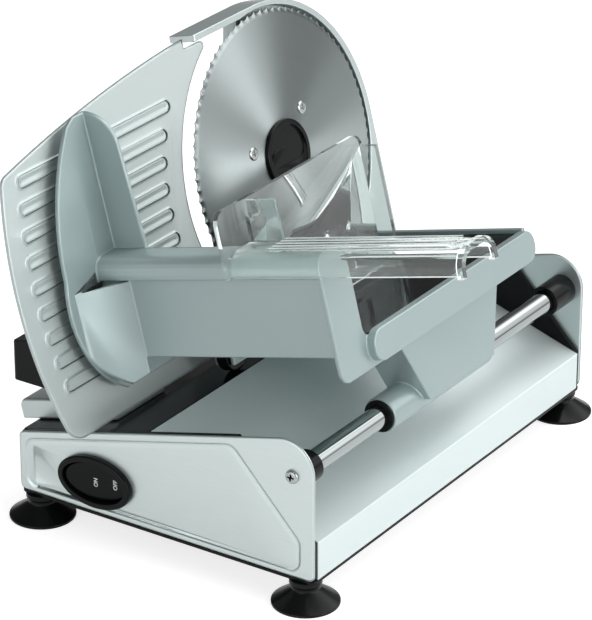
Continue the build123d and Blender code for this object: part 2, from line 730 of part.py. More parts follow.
# Blade housing: upright with a ring, arm over the fence, foot under the motor
arm_under = RING_TOP - ARM_THICKNESS
shoulder_rise = BLADE_RISE + UPRIGHT_SHOULDER_UP
with BuildPart() as blade_housing:
    with BuildSketch(cut_plane(HOUSING_REAR)) as outline:
        with BuildLine() as edge:
            far_side = Line((UPRIGHT_FAR, DECK_RISE), (UPRIGHT_FAR, RING_RISE))
            ring = ThreePointArc(
                far_side @ 1,
                (RING_BACK + RING_RADIUS * math.sqrt(0.5), RING_RISE + RING_RADIUS * math.sqrt(0.5)),
                (RING_BACK, RING_TOP),
            )
            Polyline(
                ring @ 1,
                (ARM_ROOT, RING_TOP),
                (UPRIGHT_NEAR, shoulder_rise),
                (UPRIGHT_NEAR, DECK_RISE),
                far_side @ 0,
            )
        make_face()
    extrude(amount=HOUSING_DEPTH)
    with BuildSketch(table_plane(arm_under)) as arm:
        with BuildLine() as edge:
            FilletPolyline(
                (HOUSING_REAR, RING_BACK),
                (HOUSING_REAR, ARM_NEAR),
                (RIM_FRONT, ARM_NEAR),
                (RIM_FRONT, RING_BACK),
                radius=ARM_NOSE,
            )
            Line((RIM_FRONT, RING_BACK), (HOUSING_REAR, RING_BACK))
        make_face()
    extrude(amount=ARM_THICKNESS)
    block((CASTING_FOOT_END, HOUSING_REAR), (UPRIGHT_NEAR, CASTING_FOOT_BACK), (DECK_RISE, CASTING_FOOT_TOP))
    disc((RECESS_FLOOR, BLADE_FRONT), BLADE_BACK, BLADE_RISE, BLADE_RADIUS + BLADE_GAP, mode=Mode.SUBTRACT)
    disc((BOSS_END, HOUSING_REAR), BLADE_BACK, BLADE_RISE, BOSS_RADIUS)
    disc((BOSS_END, RECESS_FLOOR), BLADE_BACK, BLADE_RISE, BUSH_RADIUS + RUNNING, mode=Mode.SUBTRACT)
save(blade_housing, "blade_housing")

with BuildPart() as shaft_bush:
    disc((BOSS_END, RECESS_FLOOR), BLADE_BACK, BLADE_RISE, BUSH_RADIUS)
    disc((BOSS_END, RECESS_FLOOR), BLADE_BACK, BLADE_RISE, JOURNAL_RADIUS + RUNNING, mode=Mode.SUBTRACT)
save(shaft_bush, "shaft_bush")

# Serrated blade with a ground bevel
blade_axis = Axis(tilted(0, BLADE_BACK, BLADE_RISE), (COS, 0, SIN))
screw_angles = [BLADE_SCREW_START + 360 / BLADE_SCREW_COUNT * index for index in range(BLADE_SCREW_COUNT)]
screw_places = [
    (
        BLADE_BACK + BLADE_SCREW_CIRCLE * math.cos(math.radians(angle)),
        BLADE_RISE + BLADE_SCREW_CIRCLE * math.sin(math.radians(angle)),
    )
    for angle in screw_angles
]


def rim_point(radius, turn):
    """Point about the blade's axis, in back and rise, at a fraction of a turn."""
    angle = 2 * math.pi * turn
    return (BLADE_BACK + radius * math.cos(angle), BLADE_RISE + radius * math.sin(angle))


with BuildPart() as blade:
    with BuildSketch(side_plane(BLADE_BACK)) as section:
        with BuildLine() as edge:
            Polyline(
                (BLADE_REAR, BLADE_RISE + BLADE_BORE),
                (BLADE_FRONT, BLADE_RISE + BLADE_BORE),
                (BLADE_FRONT, BLADE_RISE + BLADE_RADIUS - BEVEL_WIDTH),
                (BLADE_REAR + BLADE_EDGE, BLADE_RISE + BLADE_RADIUS),
                (BLADE_REAR, BLADE_RISE + BLADE_RADIUS),
                close=True,
            )
        make_face()
    revolve(axis=blade_axis)
    with BuildSketch(cut_plane(BLADE_REAR)) as teeth:
        with BuildLine() as edge:
            corners = []
            for tooth in range(TOOTH_COUNT):
                corners.append(rim_point(BLADE_RADIUS, tooth / TOOTH_COUNT))
                for side in (-1, 1):
                    turn = (tooth + (1 + side * TOOTH_VALLEY) / 2) / TOOTH_COUNT
                    corners.append(rim_point(BLADE_RADIUS - TOOTH_DEPTH, turn))
            Polyline(corners, close=True)
        make_face()
        with Locations(*screw_places):
            Circle(BLADE_SCREW_RADIUS + SEAT, mode=Mode.SUBTRACT)
    extrude(amount=BLADE_THICKNESS, mode=Mode.INTERSECT)
save(blade, "blade")

# Carrier behind the blade, with the journal that turns in the bush
journal_end = GEAR_REAR - LOOSE
with BuildPart() as blade_carrier:
    disc((CARRIER_REAR, BLADE_REAR), BLADE_BACK, BLADE_RISE, CARRIER_RADIUS)
    disc((BLADE_REAR, BLADE_FRONT - SEAT), BLADE_BACK, BLADE_RISE, BLADE_BORE - SEAT)
    disc((journal_end, CARRIER_REAR), BLADE_BACK, BLADE_RISE, JOURNAL_RADIUS)
    stem_end = BLADE_FRONT - LOCK_STEM_DEPTH - LOOSE
    disc((stem_end, BLADE_FRONT), BLADE_BACK, BLADE_RISE, LOCK_STEM_RADIUS + RUNNING, mode=Mode.SUBTRACT)
    for place in screw_places:
        disc((CARRIER_REAR, BLADE_REAR), *place, BLADE_SCREW_RADIUS + SEAT, mode=Mode.SUBTRACT)
save(blade_carrier, "blade_carrier")

with BuildPart() as blade_screws:
    for place in screw_places:
        disc((CARRIER_REAR, BLADE_FRONT), *place, BLADE_SCREW_RADIUS)
        disc((BLADE_FRONT, BLADE_FRONT + SCREW_HEAD_HEIGHT / 2), *place, SCREW_HEAD_RADIUS)
save(blade_screws, "blade_screws")

# Blade lock: round cap with a sunk field, half of it scooped deeper along an S to turn it by
lock_face = BLADE_FRONT + LOCK_THICKNESS
lock_field = LOCK_RADIUS - LOCK_RIM
scoop_start = LOCK_SCOOP_TURN / 360
with BuildPart() as blade_lock:
    disc((BLADE_FRONT, lock_face), BLADE_BACK, BLADE_RISE, LOCK_RADIUS)
    fillet(blade_lock.faces().sort_by(blade_axis)[-1].edges(), LOCK_EDGE)
    disc((lock_face - LOCK_SUNK, lock_face), BLADE_BACK, BLADE_RISE, lock_field, mode=Mode.SUBTRACT)
    with BuildSketch(cut_plane(lock_face - LOCK_SUNK - LOCK_SCOOP_DEPTH)) as scoop:
        with BuildLine() as edge:
            outer_arc = ThreePointArc(
                rim_point(lock_field, scoop_start),
                rim_point(lock_field, scoop_start + 1 / 4),
                rim_point(lock_field, scoop_start + 1 / 2),
            )
            s_first = ThreePointArc(
                outer_arc @ 1,
                rim_point(lock_field * math.sqrt(0.5), scoop_start + 3 / 8),
                (BLADE_BACK, BLADE_RISE),
            )
            ThreePointArc(
                s_first @ 1,
                rim_point(lock_field * math.sqrt(0.5), scoop_start - 1 / 8),
                outer_arc @ 0,
            )
        make_face()
    extrude(amount=LOCK_SCOOP_DEPTH, mode=Mode.SUBTRACT)
    disc((BLADE_FRONT - LOCK_STEM_DEPTH, BLADE_FRONT), BLADE_BACK, BLADE_RISE, LOCK_STEM_RADIUS)
save(blade_lock, "blade_lock")


# Worm wheel on the journal, held by a retainer
def tooth_corner(angle, radius, side):
    """Corner of a gear tooth, in back and rise: out along its angle, then to one side."""
    out_back = math.cos(angle)
    out_rise = math.sin(angle)
    return (BLADE_BACK + radius * out_back - side * out_rise, BLADE_RISE + radius * out_rise + side * out_back)


with BuildPart() as drive_gear:
    with BuildSketch(cut_plane(GEAR_REAR)) as teeth:
        with Locations((BLADE_BACK, BLADE_RISE)):
            Circle(GEAR_ROOT)
        for tooth in range(GEAR_TEETH):
            middle = 2 * math.pi * (tooth + 0.5) / GEAR_TEETH
            with BuildLine() as edge:
                Polyline(
                    tooth_corner(middle, GEAR_ROOT - GEAR_MODULE, -GEAR_TOOTH_ROOT / 2),
                    tooth_corner(middle, GEAR_ROOT, -GEAR_TOOTH_ROOT / 2),
                    tooth_corner(middle, GEAR_OUTER, -GEAR_TOOTH_TOP / 2),
                    tooth_corner(middle, GEAR_OUTER, GEAR_TOOTH_TOP / 2),
                    tooth_corner(middle, GEAR_ROOT, GEAR_TOOTH_ROOT / 2),
                    tooth_corner(middle, GEAR_ROOT - GEAR_MODULE, GEAR_TOOTH_ROOT / 2),
                    close=True,
                )
            make_face()
        with Locations((BLADE_BACK, BLADE_RISE)):
            Circle(JOURNAL_RADIUS + SEAT, mode=Mode.SUBTRACT)
    extrude(amount=GEAR_WIDTH)
save(drive_gear, "drive_gear")

with BuildPart() as gear_retainer:
    disc((journal_end - RETAINER, journal_end), BLADE_BACK, BLADE_RISE, JOURNAL_RADIUS + RETAINER)
    disc((journal_end, GEAR_REAR), BLADE_BACK, BLADE_RISE, JOURNAL_RADIUS + RETAINER)
    disc((journal_end, GEAR_REAR), BLADE_BACK, BLADE_RISE, JOURNAL_RADIUS + SEAT, mode=Mode.SUBTRACT)
save(gear_retainer, "gear_retainer")

# Motor: can with a rotor inside, and the worm on the rotor's shaft
rotor_bottom = CASTING_FOOT_TOP + MOTOR_WALL
rotor_top = MOTOR_TOP - MOTOR_WALL
shaft_top = WORM_BLOCK_BOTTOM + WORM_BLOCK_HEIGHT
with BuildPart() as motor_can:
    upright_bar((CASTING_FOOT_TOP, MOTOR_TOP), MOTOR_RADIUS)
    upright_bar((rotor_bottom, rotor_top), ROTOR_RADIUS + LOOSE, mode=Mode.SUBTRACT)
    upright_bar((CASTING_FOOT_TOP, MOTOR_TOP), MOTOR_SHAFT + RUNNING, mode=Mode.SUBTRACT)
save(motor_can, "motor_can")

worm_start = BLADE_RISE - (WORM_TURNS // 2 - 1 + WORM_MESH_TURN) * WORM_PITCH
worm_foot = tilted(GEAR_MIDDLE, WORM_BACK, worm_start)
with BuildPart() as worm_thread:
    with BuildLine() as path:
        Helix(WORM_PITCH, WORM_TURNS * WORM_PITCH, WORM_ROOT, center=worm_foot, direction=(-SIN, 0, COS))
    with BuildSketch(Plane(origin=worm_foot, x_dir=(COS, 0, SIN), z_dir=(0, 1, 0))) as section:
        with BuildLine() as edge:
            Polyline(
                (WORM_ROOT - LOOSE, -WORM_THREAD_ROOT / 2),
                (WORM_OUTER, -WORM_THREAD_TOP / 2),
                (WORM_OUTER, WORM_THREAD_TOP / 2),
                (WORM_ROOT - LOOSE, WORM_THREAD_ROOT / 2),
                close=True,
            )
        make_face()
    sweep(path=path.line, is_frenet=True)

with BuildPart() as motor_rotor:
    upright_bar((CASTING_FOOT_TOP + LOOSE, shaft_top), MOTOR_SHAFT)
    upright_bar((rotor_bottom + LOOSE, rotor_top - LOOSE), ROTOR_RADIUS)
    upright_bar((BLADE_RISE - WORM_HALF, BLADE_RISE + WORM_HALF), WORM_ROOT)
    add(worm_thread.part)
save(motor_rotor, "motor_rotor")

motor_cup_top = CASTING_FOOT_TOP + MOTOR_CUP_HEIGHT
with BuildPart() as motor_cup:
    upright_bar((CASTING_FOOT_TOP, motor_cup_top), MOTOR_RADIUS + SEAT + MOTOR_CUP_WALL)
    upright_bar((CASTING_FOOT_TOP, motor_cup_top), MOTOR_RADIUS + SEAT, mode=Mode.SUBTRACT)
save(motor_cup, "motor_cup")

with BuildPart() as worm_block:
    block(
        (GEAR_MIDDLE - WORM_BLOCK_WIDTH / 2, HOUSING_REAR),
        (WORM_BACK - WORM_BLOCK_WIDTH / 2, WORM_BACK + WORM_BLOCK_WIDTH / 2),
        (WORM_BLOCK_BOTTOM, shaft_top),
    )
    upright_bar((WORM_BLOCK_BOTTOM, shaft_top), MOTOR_SHAFT + RUNNING, mode=Mode.SUBTRACT)
save(worm_block, "worm_block")

# Motor cover on the casting's foot: shell round the wheel, column round the worm, box round the motor
gear_shell_end = journal_end - RETAINER - COVER_GAP - COVER_WALL
worm_room = WORM_OUTER + COVER_GAP + COVER_WALL
motor_room = MOTOR_RADIUS + SEAT + MOTOR_CUP_WALL + COVER_GAP + COVER_WALL
cover_near = BLADE_BACK - GEAR_OUTER - COVER_GAP - COVER_WALL
cover_far = WORM_BACK + motor_room
cover_round = BLADE_BACK - cover_near
motor_box_near = WORM_BACK - motor_room
motor_box_end = GEAR_MIDDLE - motor_room
worm_column_top = shaft_top + COVER_GAP + COVER_WALL
motor_box_top = MOTOR_TOP + COVER_GAP + COVER_WALL
with BuildPart() as motor_cover:
    for inset, mode in ((0, Mode.ADD), (COVER_WALL, Mode.SUBTRACT)):
        with BuildSketch(cut_plane(gear_shell_end + inset)) as gear_shell:
            with BuildLine() as edge:
                near_side = Line((cover_near + inset, CASTING_FOOT_TOP), (cover_near + inset, BLADE_RISE))
                near_round = RadiusArc(near_side @ 1, (BLADE_BACK, COVER_TOP - inset), cover_round - inset)
                top_side = Line(near_round @ 1, (cover_far - COVER_CORNER, COVER_TOP - inset))
                far_round = RadiusArc(
                    top_side @ 1,
                    (cover_far - inset, COVER_TOP - COVER_CORNER),
                    COVER_CORNER - inset,
                )
                Polyline(far_round @ 1, (cover_far - inset, CASTING_FOOT_TOP), near_side @ 0)
            make_face()
        extrude(amount=HOUSING_REAR - gear_shell_end - inset, mode=mode)
        block(
            (GEAR_MIDDLE - worm_room + inset, HOUSING_REAR),
            (WORM_BACK - worm_room + inset, WORM_BACK + worm_room - inset),
            (CASTING_FOOT_TOP, worm_column_top - inset),
            mode=mode,
        )
        with BuildSketch(cut_plane(motor_box_end + inset)) as motor_box:
            with BuildLine() as edge:
                Polyline(
                    (motor_box_near + inset, CASTING_FOOT_TOP),
                    (motor_box_near + inset, motor_box_top - inset),
                    (cover_far - inset, motor_box_top - inset),
                    (cover_far - inset, CASTING_FOOT_TOP),
                    close=True,
                )
            make_face()
            fillet(motor_box.vertices().group_by(Axis.Y)[-1], MOTOR_BOX_CORNER - inset)
        extrude(amount=HOUSING_REAR - motor_box_end - inset, mode=mode)
    with BuildSketch(cut_plane(motor_box_end)) as vents:
        with Locations((WORM_BACK, CASTING_FOOT_TOP + MOTOR_LENGTH / 2)):
            with GridLocations(VENT_STEP, 0, VENT_COUNT, 1):
                SlotOverall(VENT_LENGTH, VENT_WIDTH, rotation=90)
    extrude(amount=COVER_WALL, mode=Mode.SUBTRACT)
save(motor_cover, "motor_cover")


# Fence plate with pressed ribs
def fence_left(rise):
    """Near edge of the fence at a rise."""
    return FENCE_LEFT + FENCE_LEFT_RADIUS - math.sqrt(FENCE_LEFT_RADIUS**2 - (rise - FENCE_LEFT_RISE) ** 2)


def round_blade(radius, rise):
    """Near side of a circle about the blade's axis, at a rise."""
    return BLADE_BACK - math.sqrt(radius**2 - (rise - BLADE_RISE) ** 2)


blade_top = BLADE_RISE + BLADE_RADIUS
step_rise = blade_top - FENCE_STEP_UNDER
step_start = round_blade(FENCE_ARC, step_rise) - FENCE_STEP_LENGTH
rib_first = FENCE_BOTTOM + RIB_FIRST_UP
rib_step = (BLADE_RISE + RIB_LAST_UP - rib_first) / (RIB_COUNT - 1)
with BuildPart() as fence_plate:
    with BuildSketch(cut_plane(FENCE_REAR)) as outline:
        with BuildLine() as edge:
            far_side = Polyline(
                (FENCE_FOOT_END, FENCE_BOTTOM),
                (BLADE_BACK, BLADE_RISE),
                (BLADE_BACK, step_rise),
                (step_start, step_rise),
                (step_start, blade_top + FENCE_CREST_OVER),
            )
            top = ThreePointArc(
                far_side @ 1,
                (FENCE_MIDDLE_BACK, BLADE_RISE + FENCE_MIDDLE_UP),
                (fence_left(FENCE_NEAR_RISE), FENCE_NEAR_RISE),
            )
            left = ThreePointArc(
                top @ 1,
                (FENCE_LEFT, FENCE_LEFT_RISE),
                (fence_left(FENCE_BOTTOM), FENCE_BOTTOM),
            )
            Line(left @ 1, far_side @ 0)
        make_face()
        with Locations((BLADE_BACK, BLADE_RISE)):
            Circle(FENCE_ARC, mode=Mode.SUBTRACT)
        fillet(outline.vertices().group_by(Axis.Y)[0].sort_by(Axis.X)[0], FENCE_CORNER)
        upper = outline.vertices().filter_by(lambda corner: corner.Y > BLADE_RISE).sort_by(Axis.X)
        fillet(upper[0], FENCE_TOP_CORNER)
        upper = outline.vertices().filter_by(lambda corner: corner.Y > BLADE_RISE).sort_by(Axis.X)
        fillet(upper[-1], FENCE_STEP_CORNER)
    extrude(amount=FENCE_SHEET)
    with BuildSketch(cut_plane(FENCE_FRONT)) as ribs:
        for index in range(RIB_COUNT):
            rise = rib_first + rib_step * index
            near = fence_left(rise) + RIB_LEFT_MARGIN
            far = round_blade(BLADE_RADIUS + RIB_BLADE_MARGIN, rise)
            with Locations(((near + far) / 2, rise)):
                SlotOverall(far - near, RIB_WIDTH)
    extrude(amount=RIB_HEIGHT)
save(fence_plate, "fence_plate")

# Slide under the fence, held by two shoulder screws in slots
slab_end = FENCE_REAR - SLAB_REACH
with BuildPart() as fence_slide:
    block((slab_end, FENCE_REAR), (SLAB_NEAR, SLAB_NEAR + SLAB_WIDTH), (DECK_RISE + SEAT, SLAB_TOP))
    fillet(fence_slide.edges().filter_by(Axis.Y).group_by(Axis.X)[0], SLAB_NOSE)
    with BuildSketch(table_plane(DECK_RISE)) as slots:
        for across, back in slide_screw_places:
            with Locations((across + FENCE_TRAVEL / 2, back)):
                SlotCenterToCenter(FENCE_TRAVEL, 2 * (SLIDE_SCREW_RADIUS + SLIDING))
    extrude(amount=SLAB_THICKNESS, mode=Mode.SUBTRACT)
save(fence_slide, "fence_slide")

with BuildPart() as slide_screws:
    for across, back in slide_screw_places:
        for low, high, radius in (
            (DECK_RISE - SHEET - SLIDE_SCREW_FLANGE, DECK_RISE - SHEET, SLIDE_SCREW_HEAD),
            (DECK_RISE - SHEET, SLAB_TOP + SEAT, SLIDE_SCREW_RADIUS),
            (SLAB_TOP + SEAT, SLAB_TOP + SEAT + SLIDE_SCREW_FLANGE, SLIDE_SCREW_HEAD),
        ):
            with BuildSketch(table_plane(low)) as face:
                with Locations((across, back)):
                    Circle(radius)
            extrude(amount=high - low)
save(slide_screws, "slide_screws")

# Black arm that braces the fence on its slide
brace_foot = (BRACE_END_Z - LEAN_HEIGHT - SLAB_TOP * COS) / SIN
with BuildPart() as fence_arm:
    with BuildSketch(panel_plane(SLAB_NEAR + BRACE_WIDTH)) as outline:
        with BuildLine() as edge:
            Polyline(
                leaning(FENCE_REAR, SLAB_TOP),
                leaning(brace_foot, SLAB_TOP),
                (BRACE_END_X, BRACE_END_Z),
                (BRACE_END_X, deck_height(BRACE_END_X, BRACE_TOP_RISE)),
                leaning(FENCE_REAR, BRACE_TOP_RISE),
                close=True,
            )
        make_face()
    extrude(amount=BRACE_WIDTH)
    fillet(fence_arm.edges().filter_by(Axis.Z), BRACE_CORNER)
save(fence_arm, "fence_arm")

# Thickness setting: nut on the fence, spindle in a guide block, knob
guide_end = GUIDE_BLOCK_START + GUIDE_BLOCK_LENGTH
with BuildPart() as fence_nut:
    block(
        (FENCE_REAR - NUT_LENGTH, FENCE_REAR),
        (SPINDLE_BACK - NUT_WIDTH / 2, SPINDLE_BACK + NUT_WIDTH / 2),
        (SPINDLE_RISE - NUT_WIDTH / 2, SPINDLE_RISE + NUT_WIDTH / 2),
    )
    disc(
        (FENCE_REAR - NUT_LENGTH, FENCE_REAR),
        SPINDLE_BACK,
        SPINDLE_RISE,
        SPINDLE_RADIUS + RUNNING,
        mode=Mode.SUBTRACT,
    )
save(fence_nut, "fence_nut")

with BuildPart() as guide_block:
    block(
        (GUIDE_BLOCK_START, guide_end),
        (SPINDLE_BACK - GUIDE_BLOCK_WIDTH / 2, SPINDLE_BACK + GUIDE_BLOCK_WIDTH / 2),
        (DECK_RISE, GUIDE_BLOCK_TOP),
    )
    disc(
        (GUIDE_BLOCK_START, guide_end),
        SPINDLE_BACK,
        SPINDLE_RISE,
        SPINDLE_RADIUS + RUNNING,
        mode=Mode.SUBTRACT,
    )
save(guide_block, "guide_block")

with BuildPart() as thickness_spindle:
    disc((GUIDE_BLOCK_START - KNOB_LENGTH / 2, SPINDLE_END), SPINDLE_BACK, SPINDLE_RISE, SPINDLE_RADIUS)
    disc((guide_end, guide_end + SPINDLE_COLLAR_LENGTH), SPINDLE_BACK, SPINDLE_RISE, SPINDLE_COLLAR)
save(thickness_spindle, "thickness_spindle")

with BuildPart() as thickness_knob:
    with BuildSketch(cut_plane(KNOB_END)) as outline:
        with Locations((SPINDLE_BACK, SPINDLE_RISE)):
            Circle(KNOB_RADIUS)
            with PolarLocations(KNOB_RADIUS + KNOB_FLUTE_SHIFT, KNOB_FLUTES, start_angle=180 / KNOB_FLUTES):
                Circle(KNOB_FLUTE_RADIUS, mode=Mode.SUBTRACT)
    extrude(amount=KNOB_LENGTH)
    disc(
        (GUIDE_BLOCK_START - KNOB_LENGTH / 2 - SEAT, KNOB_FACE),
        SPINDLE_BACK,
        SPINDLE_RISE,
        SPINDLE_RADIUS + RUNNING,
        mode=Mode.SUBTRACT,
    )
save(thickness_knob, "thickness_knob")

# Carriage: shield, fin, hood, wall, post, rim, floor, gusset, leg, tube and roller fork
fin_far = FIN_BACK + CARRIAGE_WALL
fin_foot = HOOD_TOP - CARRIAGE_WALL
tube_near = LEG_CENTRE - LEG_FOOT_WIDTH / 2 - TUBE_LEAD
tube_far = LEG_CENTRE + LEG_FOOT_WIDTH / 2 + TUBE_TAIL
fork_half = ROLLER_WIDTH / 2 + SLIDING + CARRIAGE_WALL


def shield_outline():
    """Outline of the hand shield, in back and rise, added to the current sketch."""
    with BuildLine() as edge:
        upper = ThreePointArc(
            (SHIELD_SHOULDER_BACK, SHIELD_SHOULDER_RISE),
            (SHIELD_UPPER_BACK, SHIELD_UPPER_RISE),
            (SHIELD_NEAR, SHIELD_WAIST_RISE),
        )
        lower = ThreePointArc(
            upper @ 1,
            (SHIELD_LOWER_BACK, SHIELD_LOWER_RISE),
            (SHIELD_HEEL_BACK, SHIELD_BOTTOM),
        )
        Polyline(lower @ 1, (fin_far, SHIELD_BOTTOM), (fin_far, SHIELD_TOP), (SHIELD_CROWN_BACK, SHIELD_TOP))
        Line((SHIELD_CROWN_BACK, SHIELD_TOP), upper @ 0)
    make_face(edge.edges())


with BuildPart() as gusset_strip:
    with BuildSketch(table_plane(SHIELD_BOTTOM)) as strip:
        with BuildLine() as edge:
            Polyline(
                (SHIELD_FACE, GUSSET_NEAR),
                (GUSSET_ACROSS, WALL_NEAR),
                (GUSSET_ACROSS - CARRIAGE_WALL, WALL_FAR),
                (SHIELD_FACE, GUSSET_NEAR + 2 * CARRIAGE_WALL),
                close=True,
            )
        make_face()
    extrude(amount=GUSSET_TOP - SHIELD_BOTTOM)
    with BuildSketch(cut_plane(SHIELD_FACE)) as limit:
        shield_outline()
    extrude(amount=GUSSET_ACROSS - SHIELD_FACE, mode=Mode.INTERSECT)
    with BuildSketch(side_plane(WALL_FAR)) as heel:
        with BuildLine() as edge:
            Polyline(
                (SHIELD_FACE, SHIELD_BOTTOM),
                (GUSSET_ACROSS, GUSSET_HEEL),
                (GUSSET_ACROSS, GUSSET_TOP),
                (SHIELD_FACE, GUSSET_TOP),
                close=True,
            )
        make_face()
    extrude(amount=WALL_FAR - GUSSET_NEAR, mode=Mode.INTERSECT)


def hood_outline(inset):
    """Section of the hood in back and rise, shrunk by an inset, added to the current sketch."""
    with BuildLine() as edge:
        near = HOOD_NEAR + inset
        far = HOOD_FAR - inset
        crown = HOOD_TOP - inset
        round_off = HOOD_CORNER - inset
        near_side = Line((near, HOOD_BOTTOM), (near, crown - round_off))
        near_round = RadiusArc(near_side @ 1, (near + round_off, crown), round_off)
        top = Line(near_round @ 1, (far - round_off, crown))
        far_round = RadiusArc(top @ 1, (far, crown - round_off), round_off)
        Polyline(far_round @ 1, (far, HOOD_BOTTOM), near_side @ 0)
    make_face(edge.edges())


def leg_outline(inset):
    """Tapered outline of the leg in back and rise, shrunk at its sides, added to the current sketch."""
    half_top = LEG_TOP_WIDTH / 2 - inset
    half_foot = LEG_FOOT_WIDTH / 2 - inset
    with BuildLine() as edge:
        Polyline(
            (LEG_CENTRE - half_top, FLOOR_BOTTOM),
            (LEG_CENTRE - half_foot, LEG_FOOT_RISE),
            (LEG_CENTRE + half_foot, LEG_FOOT_RISE),
            (LEG_CENTRE + half_top, FLOOR_BOTTOM),
            close=True,
        )
    make_face(edge.edges())


with BuildPart() as carriage_body:
    with BuildSketch(cut_plane(SHIELD_REAR)) as shield:
        shield_outline()
    extrude(amount=CARRIAGE_WALL)
    add(gusset_strip.part)
    with BuildSketch(side_plane(fin_far)) as fin:
        with BuildLine() as edge:
            foot = Line((SHIELD_FACE, fin_foot), (SHIELD_FACE + FIN_REACH, fin_foot))
            front = Line(foot @ 1, (SHIELD_FACE + FIN_SHOULDER, FIN_SHOULDER_RISE))
            crown = TangentArc(front @ 1, (SHIELD_FACE, SHIELD_TOP), tangent=front % 1)
            Line(crown @ 1, foot @ 0)
        make_face()
    extrude(amount=CARRIAGE_WALL)
    with BuildSketch(cut_plane(SHIELD_FACE)) as hood:
        hood_outline(0)
    extrude(amount=TABLE_END - SHIELD_FACE)
    with BuildSketch(cut_plane(SHIELD_FACE)) as hollow:
        hood_outline(CARRIAGE_WALL)
    extrude(amount=TABLE_END - CARRIAGE_WALL - SHIELD_FACE, mode=Mode.SUBTRACT)
    block((SHIELD_FACE, TABLE_END), (WALL_NEAR, WALL_FAR), (FLOOR_BOTTOM, HOOD_TOP - CARRIAGE_WALL))
    block((SHIELD_FACE, TABLE_END), (WALL_NEAR, FLOOR_FAR), (FLOOR_BOTTOM, FLOOR_TOP))
    block((SHIELD_REAR, SHIELD_FACE), (WALL_FAR, FLOOR_FAR), (SHIELD_BOTTOM, FLOOR_TOP))
    block((SHIELD_REAR, TABLE_END), (FLOOR_FAR - CARRIAGE_WALL, FLOOR_FAR), (RIM_BOTTOM, RIM_TOP))
    with BuildSketch(cut_plane(TABLE_END - CARRIAGE_WALL)) as post:
        with BuildLine() as edge:
            FilletPolyline(
                (HOOD_NEAR, POST_BOTTOM),
                (HOOD_NEAR, HOOD_TOP - HOOD_CORNER),
                (HOOD_FAR, HOOD_TOP - HOOD_CORNER),
                (HOOD_FAR, FLOOR_TOP),
                (FLOOR_FAR, FLOOR_TOP),
                (FLOOR_FAR, POST_BOTTOM),
                radius=[POST_CORNER, POST_EDGE, POST_EDGE, POST_CORNER, POST_EDGE, POST_CORNER],
                close=True,
            )
        make_face()
    extrude(amount=CARRIAGE_WALL)
    with BuildSketch(cut_plane(TABLE_END)) as rim:
        with Locations(((RIM_NEAR + FLOOR_FAR) / 2, (RIM_BOTTOM + RIM_TOP) / 2)):
            RectangleRounded(FLOOR_FAR - RIM_NEAR, RIM_TOP - RIM_BOTTOM, RIM_CORNER)
    extrude(amount=RIM_DEPTH)
    with BuildSketch(cut_plane(LEG_INNER)) as leg:
        leg_outline(0)
    extrude(amount=LEG_FACE - LEG_INNER)
    with BuildSketch(cut_plane(LEG_INNER)) as hollow:
        leg_outline(CARRIAGE_WALL)
    extrude(amount=LEG_FACE - LEG_INNER - CARRIAGE_WALL, mode=Mode.SUBTRACT)
    rod_bar((tube_near, tube_far), TUBE_RADIUS)
    rod_bar((tube_near, tube_far), ROD_BUSH_RADIUS + RUNNING, mode=Mode.SUBTRACT)
    for side in (-1, 1):
        inner_face = ROLLER_ACROSS + side * (ROLLER_WIDTH / 2 + SLIDING)
        outer_face = ROLLER_ACROSS + side * fork_half
        block(
            (min(inner_face, outer_face), max(inner_face, outer_face)),
            (ROLLER_BACK - FORK_WIDTH / 2, ROLLER_BACK + FORK_WIDTH / 2),
            (ROLLER_RISE - 2 * PIN_RADIUS, FLOOR_BOTTOM),
        )
    disc(
        (ROLLER_ACROSS - fork_half, ROLLER_ACROSS + fork_half),
        ROLLER_BACK,
        ROLLER_RISE,
        PIN_RADIUS + RUNNING,
        mode=Mode.SUBTRACT,
    )
save(carriage_body, "carriage_body")

with BuildPart() as carriage_table:
    block(
        (SHIELD_FACE + TABLE_MARGIN, TABLE_END - CARRIAGE_WALL - SEAT),
        (WALL_FAR + SEAT, FLOOR_FAR - CARRIAGE_WALL - SEAT),
        (FLOOR_TOP, FLOOR_TOP + TABLE_PLATE),
    )
save(carriage_table, "carriage_table")

# Bushes that carry the carriage on the rod
for bush_name, near, flange in (
    ("rod_bush_front", tube_near, tube_near - ROD_BUSH_FLANGE_LENGTH),
    ("rod_bush_rear", tube_far - ROD_BUSH_LENGTH, tube_far),
):
    with BuildPart() as rod_bush:
        rod_bar((near, near + ROD_BUSH_LENGTH), ROD_BUSH_RADIUS)
        rod_bar((flange, flange + ROD_BUSH_FLANGE_LENGTH), ROD_BUSH_FLANGE)
        bore = (near - ROD_BUSH_FLANGE_LENGTH, near + ROD_BUSH_LENGTH + ROD_BUSH_FLANGE_LENGTH)
        rod_bar(bore, ROD_RADIUS + RUNNING, mode=Mode.SUBTRACT)
    save(rod_bush, bush_name)

# Roller on the deck and its pin
with BuildPart() as deck_roller:
    disc(
        (ROLLER_ACROSS - ROLLER_WIDTH / 2, ROLLER_ACROSS + ROLLER_WIDTH / 2),
        ROLLER_BACK,
        ROLLER_RISE,
        ROLLER_RADIUS,
    )
    disc(
        (ROLLER_ACROSS - ROLLER_WIDTH / 2, ROLLER_ACROSS + ROLLER_WIDTH / 2),
        ROLLER_BACK,
        ROLLER_RISE,
        PIN_RADIUS + RUNNING,
        mode=Mode.SUBTRACT,
    )
save(deck_roller, "deck_roller")

with BuildPart() as roller_pin:
    disc((ROLLER_ACROSS - fork_half, ROLLER_ACROSS + fork_half), ROLLER_BACK, ROLLER_RISE, PIN_RADIUS)
save(roller_pin, "roller_pin")

